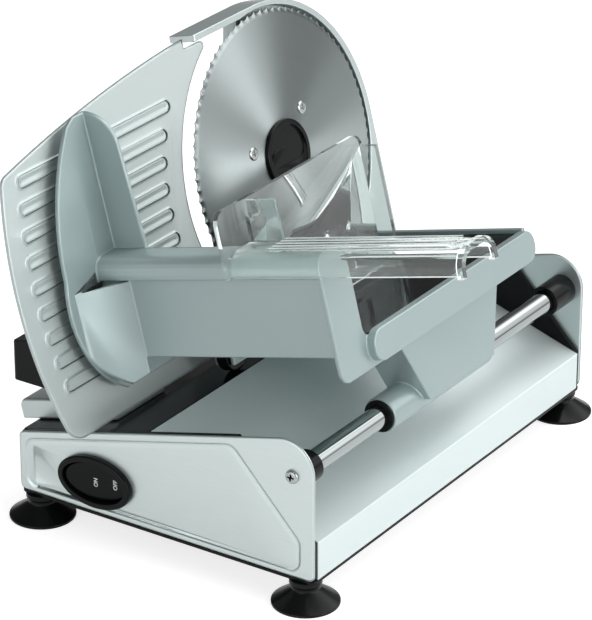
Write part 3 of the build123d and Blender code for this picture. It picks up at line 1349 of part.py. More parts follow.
# Clear pusher: plate, web, sleeve over the hood with ridges and an end bead, spikes
plate_far_face = PUSHER_FACE + PUSHER_SHEET
plate_bottom = FLOOR_TOP + TABLE_PLATE + PUSHER_FLOOR_GAP
sleeve_crown = HOOD_TOP + SLIDING + SLEEVE_SHEET
sleeve_half = HOOD_WIDTH / 2 + SLIDING + SLEEVE_SHEET


def sleeve_outline(half_width, crown, corner, bottom):
    """Arch over the hood, in back and rise, added to the current sketch."""
    with BuildLine() as edge:
        near_side = Line((HOOD_MIDDLE - half_width, bottom), (HOOD_MIDDLE - half_width, crown - corner))
        near_round = RadiusArc(near_side @ 1, (HOOD_MIDDLE - half_width + corner, crown), corner)
        top = Line(near_round @ 1, (HOOD_MIDDLE + half_width - corner, crown))
        far_round = RadiusArc(top @ 1, (HOOD_MIDDLE + half_width, crown - corner), corner)
        Polyline(far_round @ 1, (HOOD_MIDDLE + half_width, bottom), near_side @ 0)
    make_face(edge.edges())


with BuildPart() as pusher:
    with BuildSketch(cut_plane(PUSHER_FACE)) as plate:
        with Locations(((PUSHER_NEAR + PUSHER_FAR) / 2, (SLEEVE_BOTTOM + PUSHER_TOP) / 2)):
            Rectangle(PUSHER_FAR - PUSHER_NEAR, PUSHER_TOP - SLEEVE_BOTTOM)
        fillet(plate.vertices().group_by(Axis.Y)[-1], PUSHER_CORNER)
        lower_near = WALL_FAR + SLIDING
        with Locations(((lower_near + PUSHER_FAR) / 2, (plate_bottom + SLEEVE_BOTTOM) / 2)):
            Rectangle(PUSHER_FAR - lower_near, SLEEVE_BOTTOM - plate_bottom)
        with Locations((HOOD_MIDDLE, (HOOD_BOTTOM - SLIDING + HOOD_TOP) / 2)):
            Rectangle(HOOD_WIDTH + 2 * SLIDING, HOOD_TOP - HOOD_BOTTOM + SLIDING, mode=Mode.SUBTRACT)
    extrude(amount=PUSHER_SHEET)
    with BuildSketch(cut_plane(PUSHER_FACE)) as sleeve:
        sleeve_outline(sleeve_half, sleeve_crown, HOOD_CORNER + SLIDING + SLEEVE_SHEET, SLEEVE_BOTTOM)
    extrude(amount=SLEEVE_END - PUSHER_FACE)
    with BuildSketch(cut_plane(SLEEVE_END - SLEEVE_BEAD_LENGTH)) as bead:
        sleeve_outline(
            sleeve_half + SLEEVE_BEAD,
            sleeve_crown + SLEEVE_BEAD,
            HOOD_CORNER + SLIDING + SLEEVE_SHEET + SLEEVE_BEAD,
            SLEEVE_BOTTOM - SLEEVE_BEAD,
        )
    extrude(amount=SLEEVE_BEAD_LENGTH)
    with BuildSketch(cut_plane(PUSHER_FACE)) as hollow:
        sleeve_outline(
            HOOD_WIDTH / 2 + SLIDING,
            HOOD_TOP + SLIDING,
            HOOD_CORNER + SLIDING,
            HOOD_BOTTOM - SLIDING,
        )
    extrude(amount=SLEEVE_END - PUSHER_FACE, mode=Mode.SUBTRACT)
    for index in range(RIDGE_COUNT):
        ridge_back = HOOD_MIDDLE + (index - (RIDGE_COUNT - 1) / 2) * RIDGE_STEP
        block(
            (RIDGE_START, RIDGE_END),
            (ridge_back - RIDGE_HEIGHT, ridge_back + RIDGE_HEIGHT),
            (sleeve_crown - RIDGE_HEIGHT, sleeve_crown + RIDGE_HEIGHT),
        )
    block(
        (plate_far_face, plate_far_face + WEB_REACH),
        (FIN_BACK, FIN_BACK + PUSHER_SHEET),
        (sleeve_crown - SLEEVE_SHEET / 2, PUSHER_TOP - LOOSE),
    )
    block(
        (plate_far_face, plate_far_face + FLANGE_REACH),
        (PUSHER_FAR - PUSHER_SHEET, PUSHER_FAR),
        (plate_bottom, PUSHER_TOP - PUSHER_CORNER),
    )
    spike_plane = Plane(origin=tilted(PUSHER_FACE, 0, 0), x_dir=(0, 1, 0), z_dir=(-COS, 0, -SIN))
    with BuildSketch(spike_plane) as spikes:
        spike_rise = (plate_bottom + SLEEVE_BOTTOM) / 2
        with Locations(((HOOD_FAR + PUSHER_FAR) / 2, -spike_rise)):
            with GridLocations(SPIKE_STEP, SPIKE_ROW_STEP, SPIKE_COLUMNS, SPIKE_ROWS):
                Rectangle(SPIKE_WIDTH, SPIKE_WIDTH)
    extrude(amount=SPIKE_LENGTH, taper=SPIKE_TAPER)
save(pusher, "pusher")
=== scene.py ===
import json
import math

import bmesh
import bpy
from bpy.props import FloatProperty, FloatVectorProperty, IntProperty, PointerProperty
from mathutils import Matrix, Vector
from mathutils.bvhtree import BVHTree


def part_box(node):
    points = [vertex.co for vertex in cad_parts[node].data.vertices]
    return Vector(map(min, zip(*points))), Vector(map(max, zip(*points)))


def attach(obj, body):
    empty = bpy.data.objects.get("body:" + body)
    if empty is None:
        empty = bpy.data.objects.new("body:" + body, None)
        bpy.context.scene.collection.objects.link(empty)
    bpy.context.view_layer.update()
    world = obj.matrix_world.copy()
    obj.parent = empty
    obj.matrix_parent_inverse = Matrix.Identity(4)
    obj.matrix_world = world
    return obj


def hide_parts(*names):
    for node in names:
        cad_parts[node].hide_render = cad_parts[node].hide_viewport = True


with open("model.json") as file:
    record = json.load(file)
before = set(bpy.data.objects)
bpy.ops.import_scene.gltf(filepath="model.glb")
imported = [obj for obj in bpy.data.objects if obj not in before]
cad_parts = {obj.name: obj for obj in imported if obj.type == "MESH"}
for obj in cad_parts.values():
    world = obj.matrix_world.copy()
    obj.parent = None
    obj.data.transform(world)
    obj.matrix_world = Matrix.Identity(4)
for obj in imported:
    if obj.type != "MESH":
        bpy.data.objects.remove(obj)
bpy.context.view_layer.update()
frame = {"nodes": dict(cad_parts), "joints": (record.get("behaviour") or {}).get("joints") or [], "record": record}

bl_info = {
    "name": "Food slicer",
    "version": (1, 0, 0),
    "blender": (4, 5, 0),
    "location": "3D View > Sidebar > Slicer",
    "description": "Dresses the packed food slicer with rounded edges, finishes, screw heads and a studio",
    "category": "Object",
}

NODES = frame["nodes"]
BODY_OF = {node: body for body, nodes in frame["record"]["behaviour"]["bodies"].items() for node in nodes}
SLOT_OF = {entry["node"]: entry["material_slot"] for entry in frame["record"]["subparts"]}
JOINTS = {joint["name"]: joint for joint in frame["joints"]}
ACROSS = Vector(JOINTS["blade_spin"]["axis"]).normalized()
BACK = Vector((0, 1, 0))
RISE = ACROSS.cross(BACK).normalized()
TILT = math.atan2(ACROSS.z, ACROSS.x)
BLADE_CENTRE = Vector(JOINTS["blade_spin"]["pos_m"])
MM = 0.001

# Reading and rounding the meshes; turns are in degrees
MERGE_GAP = 2e-6
LEVEL_GAP = 0.02 * MM
FIELD_GAP = 0.05 * MM
FLAT_TURN = 0.6
SAME_FACING = 0.999
SHARP_TURN = 35
PRESS_TURN = 9
HEAD_TURN = 40
BLADE_TURN = 12
THROW_SHARE = 0.35
WIDE_SEGMENTS = 3

# Finishes: depth of grain and lines, hollow grinding of the blade, tone of clear plastic seen aslant
GRAIN_DEPTH = 0.2 * MM
LINE_DEPTH = 0.1 * MM
HAZE_DEPTH = 1.0 * MM
BLADE_HOLLOW = 0.12
SLANT_BLEND, SLANT_SHADE = 0.15, 0.4

# Finger ridges of the pusher
RIDGE_LEAST_LENGTH = 60 * MM
RIDGE_MOST_WIDTH = 3 * MM
RIDGE_TOP_GAP = 0.1 * MM
RIDGE_FACING = 0.99

# Screw heads
HEAD_SEGMENTS = 36
ROD_HEAD_HEIGHT = 2.4 * MM
BLADE_HEAD_HEIGHT = 1.2 * MM
BLADE_HEAD_RADIUS = 4.4 * MM
BLADE_SCREW_COUNT = 3
BLADE_SCREW_CIRCLE = 35 * MM
BLADE_SCREW_START = 41.5

# Cross recess and dome, as shares of a head's radius and height
CROSS_HALF, CROSS_ARM, HEAD_FLAT = 0.11, 0.52, 0.66
CROSS_TAPER, CROSS_DEPTH = 0.6, 0.7
HEAD_PROFILE = ((0.82, 0.1), (0.94, 0.34), (1.0, 0.66), (1.0, 1.0))

# Points round each blade tooth
TOOTH_STEPS = 10

# Words on the switch: text, place aside and place above the middle of the rocker
WORDS = (("ON", 0.7 * MM, -0.9 * MM), ("OFF", -13 * MM, 0.3 * MM))
CAPITAL_SHARE = 0.72
WORD_DEPTH = 0.06 * MM
WORD_WEIGHT = 0.09 * MM
WORD_LIFT = 0.02 * MM

# Camera: sensor in millimetres, the picture's longer side and the sight's shift in pixels
SENSOR_WIDTH = 36
PICTURE_SIDE = 620
SIGHT_RIGHT, SIGHT_UP = -13.16, 21.02
CLIP_END = 20

# Studio
FLOOR_SIZE = 6
FLOOR_TONE = 0.6
FLOOR_GLOW = 0.74
FLOOR_MIRRORED = 0.42
FILL_PLACE, FILL_SIZE = Vector((2.0, -0.3, 0.9)), 1.2
TOP_PLACE, TOP_SIZE = Vector((0.1, 0.5, 1.9)), 1.4
ROOM_LIGHT = 0.12
LIGHT_PATCHES = (
    # azimuth from the front towards the right, elevation, sharpness, strength
    (0, 12, 8, 2.4), (315, 12, 8, 0.2), (127, 24, 30, 3.6), (135, 48, 8, 1.2), (95, 6, 140, 16.0),
    (170, 40, 40, 2.5),
)


class SlicerEdges(bpy.types.PropertyGroup):
    """Edge rounding of the pieces and the small fastenings."""

    sheet: FloatProperty(
        name="Sheet edge", description="Rounding of the folded and cut sheet",
        default=0.5 * MM, min=0, subtype="DISTANCE", unit="LENGTH")
    moulding: FloatProperty(
        name="Moulding edge", description="Rounding of the moulded plastic",
        default=0.6 * MM, min=0, subtype="DISTANCE", unit="LENGTH")
    casting: FloatProperty(
        name="Casting edge", description="Rounding of the blade housing's edges",
        default=0.7 * MM, min=0, subtype="DISTANCE", unit="LENGTH")
    fine: FloatProperty(
        name="Fine edge", description="Rounding of small turned and clear pieces",
        default=0.3 * MM, min=0, subtype="DISTANCE", unit="LENGTH")
    rib: FloatProperty(
        name="Rib slope", description="Width of the slope round each pressed rib of the fence",
        default=3.6 * MM, min=0, subtype="DISTANCE", unit="LENGTH")
    panel_slope: FloatProperty(
        name="Panel slope", description="Width of the slope round the pressed field of an end panel",
        default=3.2 * MM, min=0, subtype="DISTANCE", unit="LENGTH")
    press_round: FloatProperty(
        name="Pressed rounding", description="Rounding along both edges of a panel's pressed slope",
        default=1.4 * MM, min=0, subtype="DISTANCE", unit="LENGTH")
    rib_round: FloatProperty(
        name="Rib rounding", description="Rounding along both edges of a rib's slope",
        default=1.7 * MM, min=0, subtype="DISTANCE", unit="LENGTH")
    carriage: FloatProperty(
        name="Carriage edge", description="Rounding of the carriage's thick moulded edges",
        default=1.0 * MM, min=0, subtype="DISTANCE", unit="LENGTH")
    slide: FloatProperty(
        name="Slide edge", description="Rounding of the fence slide",
        default=2.0 * MM, min=0, subtype="DISTANCE", unit="LENGTH")
    bevel_ring: FloatProperty(
        name="Blade bevel", description="Width of the ground ring at the blade's edge",
        default=4.2 * MM, min=0, subtype="DISTANCE", unit="LENGTH")
    scallop: FloatProperty(
        name="Blade scallop", description="Depth of the scallops between the blade's teeth",
        default=1.6 * MM, min=0, subtype="DISTANCE", unit="LENGTH")
    teeth: IntProperty(name="Blade teeth", description="Number of teeth round the blade", default=84, min=12)
    segments: IntProperty(
        name="Edge segments", description="Segments across each rounded edge", default=2, min=1, max=6)
    letter_height: FloatProperty(
        name="Switch letters", description="Height of the words on the switch",
        default=2.7 * MM, min=0, subtype="DISTANCE", unit="LENGTH")


class SlicerFinish(bpy.types.PropertyGroup):
    """Colours of the finishes."""

    panel: FloatVectorProperty(
        name="Panels", description="Satin steel of the end panels",
        default=(0.67, 0.75, 0.745), size=3, min=0, max=1, subtype="COLOR")
    tray: FloatVectorProperty(
        name="Tray", description="Satin coated sheet of the tray",
        default=(0.70, 0.78, 0.78), size=3, min=0, max=1, subtype="COLOR")
    fence: FloatVectorProperty(
        name="Fence", description="Satin pressed sheet of the fence",
        default=(0.52, 0.585, 0.58), size=3, min=0, max=1, subtype="COLOR")
    casting: FloatVectorProperty(
        name="Housing", description="Silver lacquer of the blade housing and slide",
        default=(0.55, 0.62, 0.615), size=3, min=0, max=1, subtype="COLOR")
    grey: FloatVectorProperty(
        name="Carriage", description="Grey moulded plastic of the carriage",
        default=(0.345, 0.425, 0.425), size=3, min=0, max=1, subtype="COLOR")
    black: FloatVectorProperty(
        name="Black plastic", description="Black moulded plastic",
        default=(0.004, 0.0045, 0.005), size=3, min=0, max=1, subtype="COLOR")
    rubber: FloatVectorProperty(
        name="Rubber", description="Suction feet",
        default=(0.004, 0.0045, 0.0045), size=3, min=0, max=1, subtype="COLOR")
    blade: FloatVectorProperty(
        name="Blade", description="Ground steel of the blade",
        default=(0.30, 0.335, 0.335), size=3, min=0, max=1, subtype="COLOR")
    clear: FloatVectorProperty(
        name="Pusher", description="Clear plastic of the pusher",
        default=(0.93, 0.98, 0.965), size=3, min=0, max=1, subtype="COLOR")
    lettering: FloatVectorProperty(
        name="Lettering", description="Printed words on the switch",
        default=(0.75, 0.80, 0.80), size=3, min=0, max=1, subtype="COLOR")


class SlicerStage(bpy.types.PropertyGroup):
    """Camera, light and floor."""

    azimuth: FloatProperty(
        name="Azimuth", description="Camera's turn from the front towards the right",
        default=math.radians(33.49), subtype="ANGLE", unit="ROTATION")
    elevation: FloatProperty(
        name="Elevation", description="Camera's height above the horizon",
        default=math.radians(25.28), subtype="ANGLE", unit="ROTATION")
    distance: FloatProperty(
        name="Distance", description="From the camera to the point that it is set about",
        default=2.144, subtype="DISTANCE", unit="LENGTH")
    target_height: FloatProperty(
        name="Target height", description="Height of that point above the base's floor",
        default=0.073, subtype="DISTANCE", unit="LENGTH")
    lens: FloatProperty(
        name="Lens", description="Focal length on a 36 mm sensor", default=198.86, unit="CAMERA")
    fill: FloatProperty(name="Fill light", description="Power of the lamp at the right", default=14.0, unit="POWER")
    top: FloatProperty(name="Top light", description="Power of the lamp overhead", default=15.0, unit="POWER")


# Shader groups and finishes

def group_socket(tree, name, direction, kind="NodeSocketFloat", default=None):
    """Adds one socket to a shader group."""
    socket = tree.interface.new_socket(name=name, in_out=direction, socket_type=kind)
    if default is not None:
        socket.default_value = default
    return socket


def add_node(tree, kind, **settings):
    """Adds a node and sets its properties."""
    node = tree.nodes.new(kind)
    for name, value in settings.items():
        setattr(node, name, value)
    return node


def new_group(name):
    """A new shader group with its two ends."""
    tree = bpy.data.node_groups.new(name, "ShaderNodeTree")
    return tree, add_node(tree, "NodeGroupInput"), add_node(tree, "NodeGroupOutput")


def make_grain_group():
    """Fine moulded grain with a slow change of tone and gloss."""
    tree, start, end = new_group("moulded_grain")
    group_socket(tree, "Vector", "INPUT", "NodeSocketVector")
    group_socket(tree, "Grain Scale", "INPUT", default=900.0)
    group_socket(tree, "Cloud Scale", "INPUT", default=14.0)
    group_socket(tree, "Gloss", "INPUT", default=0.35)
    group_socket(tree, "Gloss Change", "INPUT", default=0.12)
    group_socket(tree, "Tone", "OUTPUT")
    group_socket(tree, "Roughness", "OUTPUT")
    group_socket(tree, "Height", "OUTPUT")
    grain = add_node(tree, "ShaderNodeTexNoise")
    grain.inputs["Detail"].default_value = 3.0
    cloud = add_node(tree, "ShaderNodeTexNoise")
    cloud.inputs["Detail"].default_value = 5.0
    cloud.inputs["Roughness"].default_value = 0.6
    gloss = add_node(tree, "ShaderNodeMath", operation="MULTIPLY_ADD")
    middle = add_node(tree, "ShaderNodeMath", operation="SUBTRACT")
    middle.inputs[1].default_value = 0.5
    mixed = add_node(tree, "ShaderNodeMath", operation="MULTIPLY_ADD")
    mixed.inputs[1].default_value = 0.35
    link = tree.links.new
    for texture, scale in ((grain, "Grain Scale"), (cloud, "Cloud Scale")):
        link(start.outputs["Vector"], texture.inputs["Vector"])
        link(start.outputs[scale], texture.inputs["Scale"])
    link(cloud.outputs["Fac"], middle.inputs[0])
    link(middle.outputs[0], gloss.inputs[0])
    link(start.outputs["Gloss Change"], gloss.inputs[1])
    link(start.outputs["Gloss"], gloss.inputs[2])
    link(grain.outputs["Fac"], mixed.inputs[0])
    link(cloud.outputs["Fac"], mixed.inputs[2])
    link(mixed.outputs[0], end.inputs["Tone"])
    link(gloss.outputs[0], end.inputs["Roughness"])
    link(grain.outputs["Fac"], end.inputs["Height"])
    return tree


def make_brush_group():
    """Fine lines of brushed or ground metal, long in the directions whose stretch is small."""
    tree, start, end = new_group("brushed_lines")
    group_socket(tree, "Vector", "INPUT", "NodeSocketVector")
    group_socket(tree, "Stretch", "INPUT", "NodeSocketVector")
    group_socket(tree, "Gloss", "INPUT", default=0.3)
    group_socket(tree, "Gloss Change", "INPUT", default=0.15)
    group_socket(tree, "Tone", "OUTPUT")
    group_socket(tree, "Roughness", "OUTPUT")
    group_socket(tree, "Height", "OUTPUT")
    scaled = add_node(tree, "ShaderNodeVectorMath", operation="MULTIPLY")
    lines = add_node(tree, "ShaderNodeTexNoise")
    lines.inputs["Scale"].default_value = 1.0
    lines.inputs["Detail"].default_value = 4.0
    lines.inputs["Roughness"].default_value = 0.65
    middle = add_node(tree, "ShaderNodeMath", operation="SUBTRACT")
    middle.inputs[1].default_value = 0.5
    gloss = add_node(tree, "ShaderNodeMath", operation="MULTIPLY_ADD")
    link = tree.links.new
    link(start.outputs["Vector"], scaled.inputs[0])
    link(start.outputs["Stretch"], scaled.inputs[1])
    link(scaled.outputs["Vector"], lines.inputs["Vector"])
    link(lines.outputs["Fac"], middle.inputs[0])
    link(middle.outputs[0], gloss.inputs[0])
    link(start.outputs["Gloss Change"], gloss.inputs[1])
    link(start.outputs["Gloss"], gloss.inputs[2])
    link(lines.outputs["Fac"], end.inputs["Tone"])
    link(gloss.outputs[0], end.inputs["Roughness"])
    link(lines.outputs["Fac"], end.inputs["Height"])
    return tree


GROUPS = {}
FINISHES = {}


def shared_group(name):
    """The shader group of that name, made on first use."""
    if name not in GROUPS:
        GROUPS[name] = {"grain": make_grain_group, "brush": make_brush_group}[name]()
    return GROUPS[name]


def add_texture(tree, kind, place, **values):
    """A shader group at a place, with its values set."""
    texture = add_node(tree, "ShaderNodeGroup", node_tree=shared_group(kind))
    for socket, value in values.items():
        texture.inputs[socket.replace("_", " ")].default_value = value
    tree.links.new(place, texture.inputs["Vector"])
    return texture


def object_coordinates(tree):
    """Object coordinates of the piece."""
    return add_node(tree, "ShaderNodeTexCoord").outputs["Object"]


def leaning_coordinates(tree):
    """Object coordinates turned to across, back and rise, centred on the blade's axis."""
    turn = add_node(tree, "ShaderNodeMapping", vector_type="POINT")
    turn.inputs["Rotation"].default_value = (0, TILT, 0)
    turn.inputs["Location"].default_value = (
        -BLADE_CENTRE.dot(ACROSS), -BLADE_CENTRE.dot(BACK), -BLADE_CENTRE.dot(RISE))
    tree.links.new(object_coordinates(tree), turn.inputs["Vector"])
    return turn.outputs["Vector"]


def start_finish(name, metallic, **plain):
    """A new material with plain values set on the shader's own sockets."""
    material = bpy.data.materials.new(name)
    material.use_nodes = True
    tree = material.node_tree
    shader = tree.nodes["Principled BSDF"]
    shader.inputs["Metallic"].default_value = metallic
    for socket, value in plain.items():
        shader.inputs[socket.replace("_", " ")].default_value = value
    return material, tree, shader


def finish_surface(tree, shader, texture, colour, spread, bump, distance):
    """Joins a texture's tone, gloss and height to the shader."""
    blend = add_node(tree, "ShaderNodeMix", data_type="RGBA")
    blend.inputs["A"].default_value = (*[channel * (1 - spread) for channel in colour], 1)
    blend.inputs["B"].default_value = (*[min(1, channel * (1 + spread)) for channel in colour], 1)
    raised = add_node(tree, "ShaderNodeBump")
    raised.inputs["Strength"].default_value = bump
    raised.inputs["Distance"].default_value = distance
    link = tree.links.new
    link(texture.outputs["Tone"], blend.inputs["Factor"])
    link(blend.outputs["Result"], shader.inputs["Base Color"])
    link(texture.outputs["Roughness"], shader.inputs["Roughness"])
    link(texture.outputs["Height"], raised.inputs["Height"])
    link(raised.outputs["Normal"], shader.inputs["Normal"])
    return raised


def grained(name, colour, metallic, gloss, change=0.1, grain=900.0, cloud=14.0, spread=0.06, bump=0.04, **plain):
    """A moulded, lacquered or rubber finish."""
    material, tree, shader = start_finish(name, metallic, **plain)
    texture = add_texture(
        tree, "grain", object_coordinates(tree), Grain_Scale=grain, Cloud_Scale=cloud, Gloss=gloss, Gloss_Change=change)
    finish_surface(tree, shader, texture, colour, spread, bump, GRAIN_DEPTH)
    return material


def brushed(name, colour, metallic, gloss, stretch, change=0.15, spread=0.06, bump=0.03, leaning=False, **plain):
    """A brushed or ground metal finish with straight lines."""
    material, tree, shader = start_finish(name, metallic, **plain)
    place = leaning_coordinates(tree) if leaning else object_coordinates(tree)
    texture = add_texture(tree, "brush", place, Stretch=stretch, Gloss=gloss, Gloss_Change=change)
    finish_surface(tree, shader, texture, colour, spread, bump, LINE_DEPTH)
    return material


def ground_blade(colour):
    """Steel ground in rings about the blade's axis."""
    material, tree, shader = start_finish("blade_steel", 1.0, Anisotropic=0.97)
    link = tree.links.new
    place = leaning_coordinates(tree)
    apart = add_node(tree, "ShaderNodeSeparateXYZ")
    link(place, apart.inputs[0])
    flat = add_node(tree, "ShaderNodeCombineXYZ")
    link(apart.outputs["Y"], flat.inputs["Y"])
    link(apart.outputs["Z"], flat.inputs["Z"])
    radius = add_node(tree, "ShaderNodeVectorMath", operation="LENGTH")
    link(flat.outputs[0], radius.inputs[0])
    outward = add_node(tree, "ShaderNodeVectorMath", operation="NORMALIZE")
    link(flat.outputs[0], outward.inputs[0])
    apart_outward = add_node(tree, "ShaderNodeSeparateXYZ")
    link(outward.outputs["Vector"], apart_outward.inputs[0])
    ring = add_node(tree, "ShaderNodeCombineXYZ")
    link(radius.outputs["Value"], ring.inputs["X"])
    link(apart_outward.outputs["Y"], ring.inputs["Y"])
    link(apart_outward.outputs["Z"], ring.inputs["Z"])
    texture = add_texture(
        tree, "brush", ring.outputs[0], Stretch=(2600.0, 3.0, 3.0), Gloss=0.36, Gloss_Change=0.16)
    raised = finish_surface(tree, shader, texture, colour, 0.07, 0.05, LINE_DEPTH)
    hollow = add_node(tree, "ShaderNodeMath", operation="MULTIPLY")
    hollow.inputs[1].default_value = -BLADE_HOLLOW
    dished = add_node(tree, "ShaderNodeBump")
    dished.inputs["Strength"].default_value = 1
    dished.inputs["Distance"].default_value = 1
    link(radius.outputs["Value"], hollow.inputs[0])
    link(hollow.outputs[0], dished.inputs["Height"])
    link(dished.outputs["Normal"], raised.inputs["Normal"])
    turned = add_node(tree, "ShaderNodeVectorRotate", rotation_type="Y_AXIS")
    turned.inputs["Angle"].default_value = -TILT
    link(outward.outputs["Vector"], turned.inputs["Vector"])
    world = add_node(
        tree, "ShaderNodeVectorTransform", vector_type="VECTOR", convert_from="OBJECT", convert_to="WORLD")
    link(turned.outputs["Vector"], world.inputs["Vector"])
    link(world.outputs["Vector"], shader.inputs["Tangent"])
    return material


def clear_plastic(colour):
    """Clear moulded plastic with a slight haze, deeper in tone where it is seen aslant."""
    material, tree, shader = start_finish(
        "clear_plastic", 0.0, Transmission_Weight=0.95, IOR=1.13, Coat_Weight=0.5, Coat_Roughness=0.03)
    texture = add_texture(
        tree, "grain", object_coordinates(tree), Grain_Scale=40.0, Cloud_Scale=9.0, Gloss=0.03, Gloss_Change=0.05)
    raised = add_node(tree, "ShaderNodeBump")
    raised.inputs["Strength"].default_value = 0.004
    raised.inputs["Distance"].default_value = HAZE_DEPTH
    slant = add_node(tree, "ShaderNodeLayerWeight")
    slant.inputs["Blend"].default_value = SLANT_BLEND
    depth = add_node(tree, "ShaderNodeMix", data_type="RGBA")
    depth.inputs["A"].default_value = (*colour, 1)
    depth.inputs["B"].default_value = (*[SLANT_SHADE * channel for channel in colour], 1)
    link = tree.links.new
    link(slant.outputs["Facing"], depth.inputs["Factor"])
    link(depth.outputs["Result"], shader.inputs["Base Color"])
    link(texture.outputs["Roughness"], shader.inputs["Roughness"])
    link(texture.outputs["Height"], raised.inputs["Height"])
    link(raised.outputs["Normal"], shader.inputs["Normal"])
    return material


def finish_of(slot):
    """The material of one of the record's slots."""
    if slot in FINISHES:
        return FINISHES[slot]
    colours = bpy.context.scene.slicer_finish
    lean = {"leaning": True}
    makers = {
        # colour, metallic share, roughness, then the scale of the lines or of the grain
        "panel_steel": lambda: brushed(slot, colours.panel, 0.85, 0.36, (60.0, 1500.0, 1500.0)),
        "fence_aluminium": lambda: brushed(slot, colours.fence, 0.5, 0.48, (1500.0, 40.0, 1500.0), spread=0.04, **lean),
        "silver_casting": lambda: grained(slot, colours.casting, 0.75, 0.36, grain=1500.0),
        "grey_plastic": lambda: grained(slot, colours.grey, 0.45, 0.36, grain=1600.0, spread=0.05),
        "black_plastic": lambda: grained(
            slot, colours.black, 0.0, 0.2, grain=1200.0, spread=0.2, bump=0.03, Specular_IOR_Level=0.16),
        "foot_rubber": lambda: grained(
            slot, colours.rubber, 0.0, 0.22, grain=700.0, spread=0.25, bump=0.04, Specular_IOR_Level=0.2),
        "rod_chrome": lambda: brushed(slot, (0.42, 0.45, 0.45), 1.0, 0.08, (900.0, 20.0, 900.0), 0.05, 0.03, 0.01),
        "screw_steel": lambda: grained(slot, (0.46, 0.48, 0.48), 1.0, 0.26, grain=2500.0),
        "bush_bronze": lambda: grained(slot, (0.50, 0.33, 0.14), 1.0, 0.38, grain=2200.0, spread=0.15),
        "motor_steel": lambda: grained(slot, (0.30, 0.31, 0.32), 0.8, 0.42, grain=1100.0),
        "gear_nylon": lambda: grained(slot, (0.78, 0.75, 0.66), 0.0, 0.45, grain=1300.0, Subsurface_Weight=0.1),
        # The table is polished steel; its near-black, barely glossy finish is a painted dark reflection, not the
        # steel's own colour.
        "table_steel": lambda: brushed(
            slot, (0.004, 0.0045, 0.005), 0.0, 0.1, (40.0, 1400.0, 1400.0), 0.03, Specular_IOR_Level=0.1, **lean),
        "blade_steel": lambda: ground_blade(colours.blade),
        "clear_plastic": lambda: clear_plastic(colours.clear),
    }
    FINISHES[slot] = makers[slot]()
    return FINISHES[slot]


# Pieces

def link_piece(name, mesh, body, slot, material=None):
    """A finished mesh as an object at the origin that rides on a body."""
    piece = bpy.data.objects.new(name, mesh)
    bpy.context.scene.collection.objects.link(piece)
    mesh.materials.clear()
    mesh.materials.append(material or finish_of(slot))
    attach(piece, body)
    return piece


def smooth_by_angle(mesh, degrees):
    """Smooth shading with sharp edges past an angle."""
    mesh.shade_smooth()
    mesh.set_sharp_from_angle(angle=math.radians(degrees))


def round_edges(piece, width, segments, degrees):
    """Rounds a piece's sharp edges and keeps its flats flat."""
    bevel = piece.modifiers.new("rounded edges", "BEVEL")
    bevel.width = width
    bevel.segments = segments
    bevel.limit_method = "ANGLE"
    bevel.angle_limit = math.radians(degrees)
    bevel.use_clamp_overlap = False
    bevel.harden_normals = True
    bevel.material = -1


def calm_corners(piece, width):
    """Draws the points that a bevel threw clear of its piece at a tight corner back onto the surface."""
    shape = piece.data
    surface = BVHTree.FromPolygons(
        [vert.co for vert in shape.vertices], [polygon.vertices for polygon in shape.polygons])
    bpy.context.view_layer.update()
    rounded = bpy.data.meshes.new_from_object(piece.evaluated_get(bpy.context.evaluated_depsgraph_get()))
    thrown = False
    for vert in rounded.vertices:
        nearest, _, _, gap = surface.find_nearest(vert.co)
        if gap > THROW_SHARE * width:
            vert.co = nearest
            thrown = True
    if not thrown:
        bpy.data.meshes.remove(rounded)
        return
    name = shape.name
    piece.modifiers.clear()
    piece.data = rounded
    bpy.data.meshes.remove(shape)
    rounded.name = name


def merged_copy(node):
    """A bmesh copy of a CAD node with its doubles merged and its flats made whole."""
    shape = bmesh.new()
    shape.from_mesh(NODES[node].data)
    bmesh.ops.remove_doubles(shape, verts=shape.verts, dist=MERGE_GAP)
    bmesh.ops.dissolve_limit(
        shape, angle_limit=math.radians(FLAT_TURN), use_dissolve_boundaries=False, verts=shape.verts, edges=shape.edges)
    return shape


def finished_piece(node, shape, material=None):
    """Makes a worked copy the piece that stands for its node."""
    mesh = bpy.data.meshes.new(node + "_finished")
    shape.to_mesh(mesh)
    shape.free()
    piece = link_piece(node + "_finished", mesh, BODY_OF[node], SLOT_OF[node], material)
    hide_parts(node)
    return piece


def soften(node, width, segments=None, material=None):
    """A merged copy of a CAD node with rounded edges, in the node's place."""
    piece = finished_piece(node, merged_copy(node), material)
    smooth_by_angle(piece.data, SHARP_TURN)
    if width > 0:
        round_edges(piece, width, segments or bpy.context.scene.slicer_edges.segments, SHARP_TURN)
        calm_corners(piece, width)
    return piece


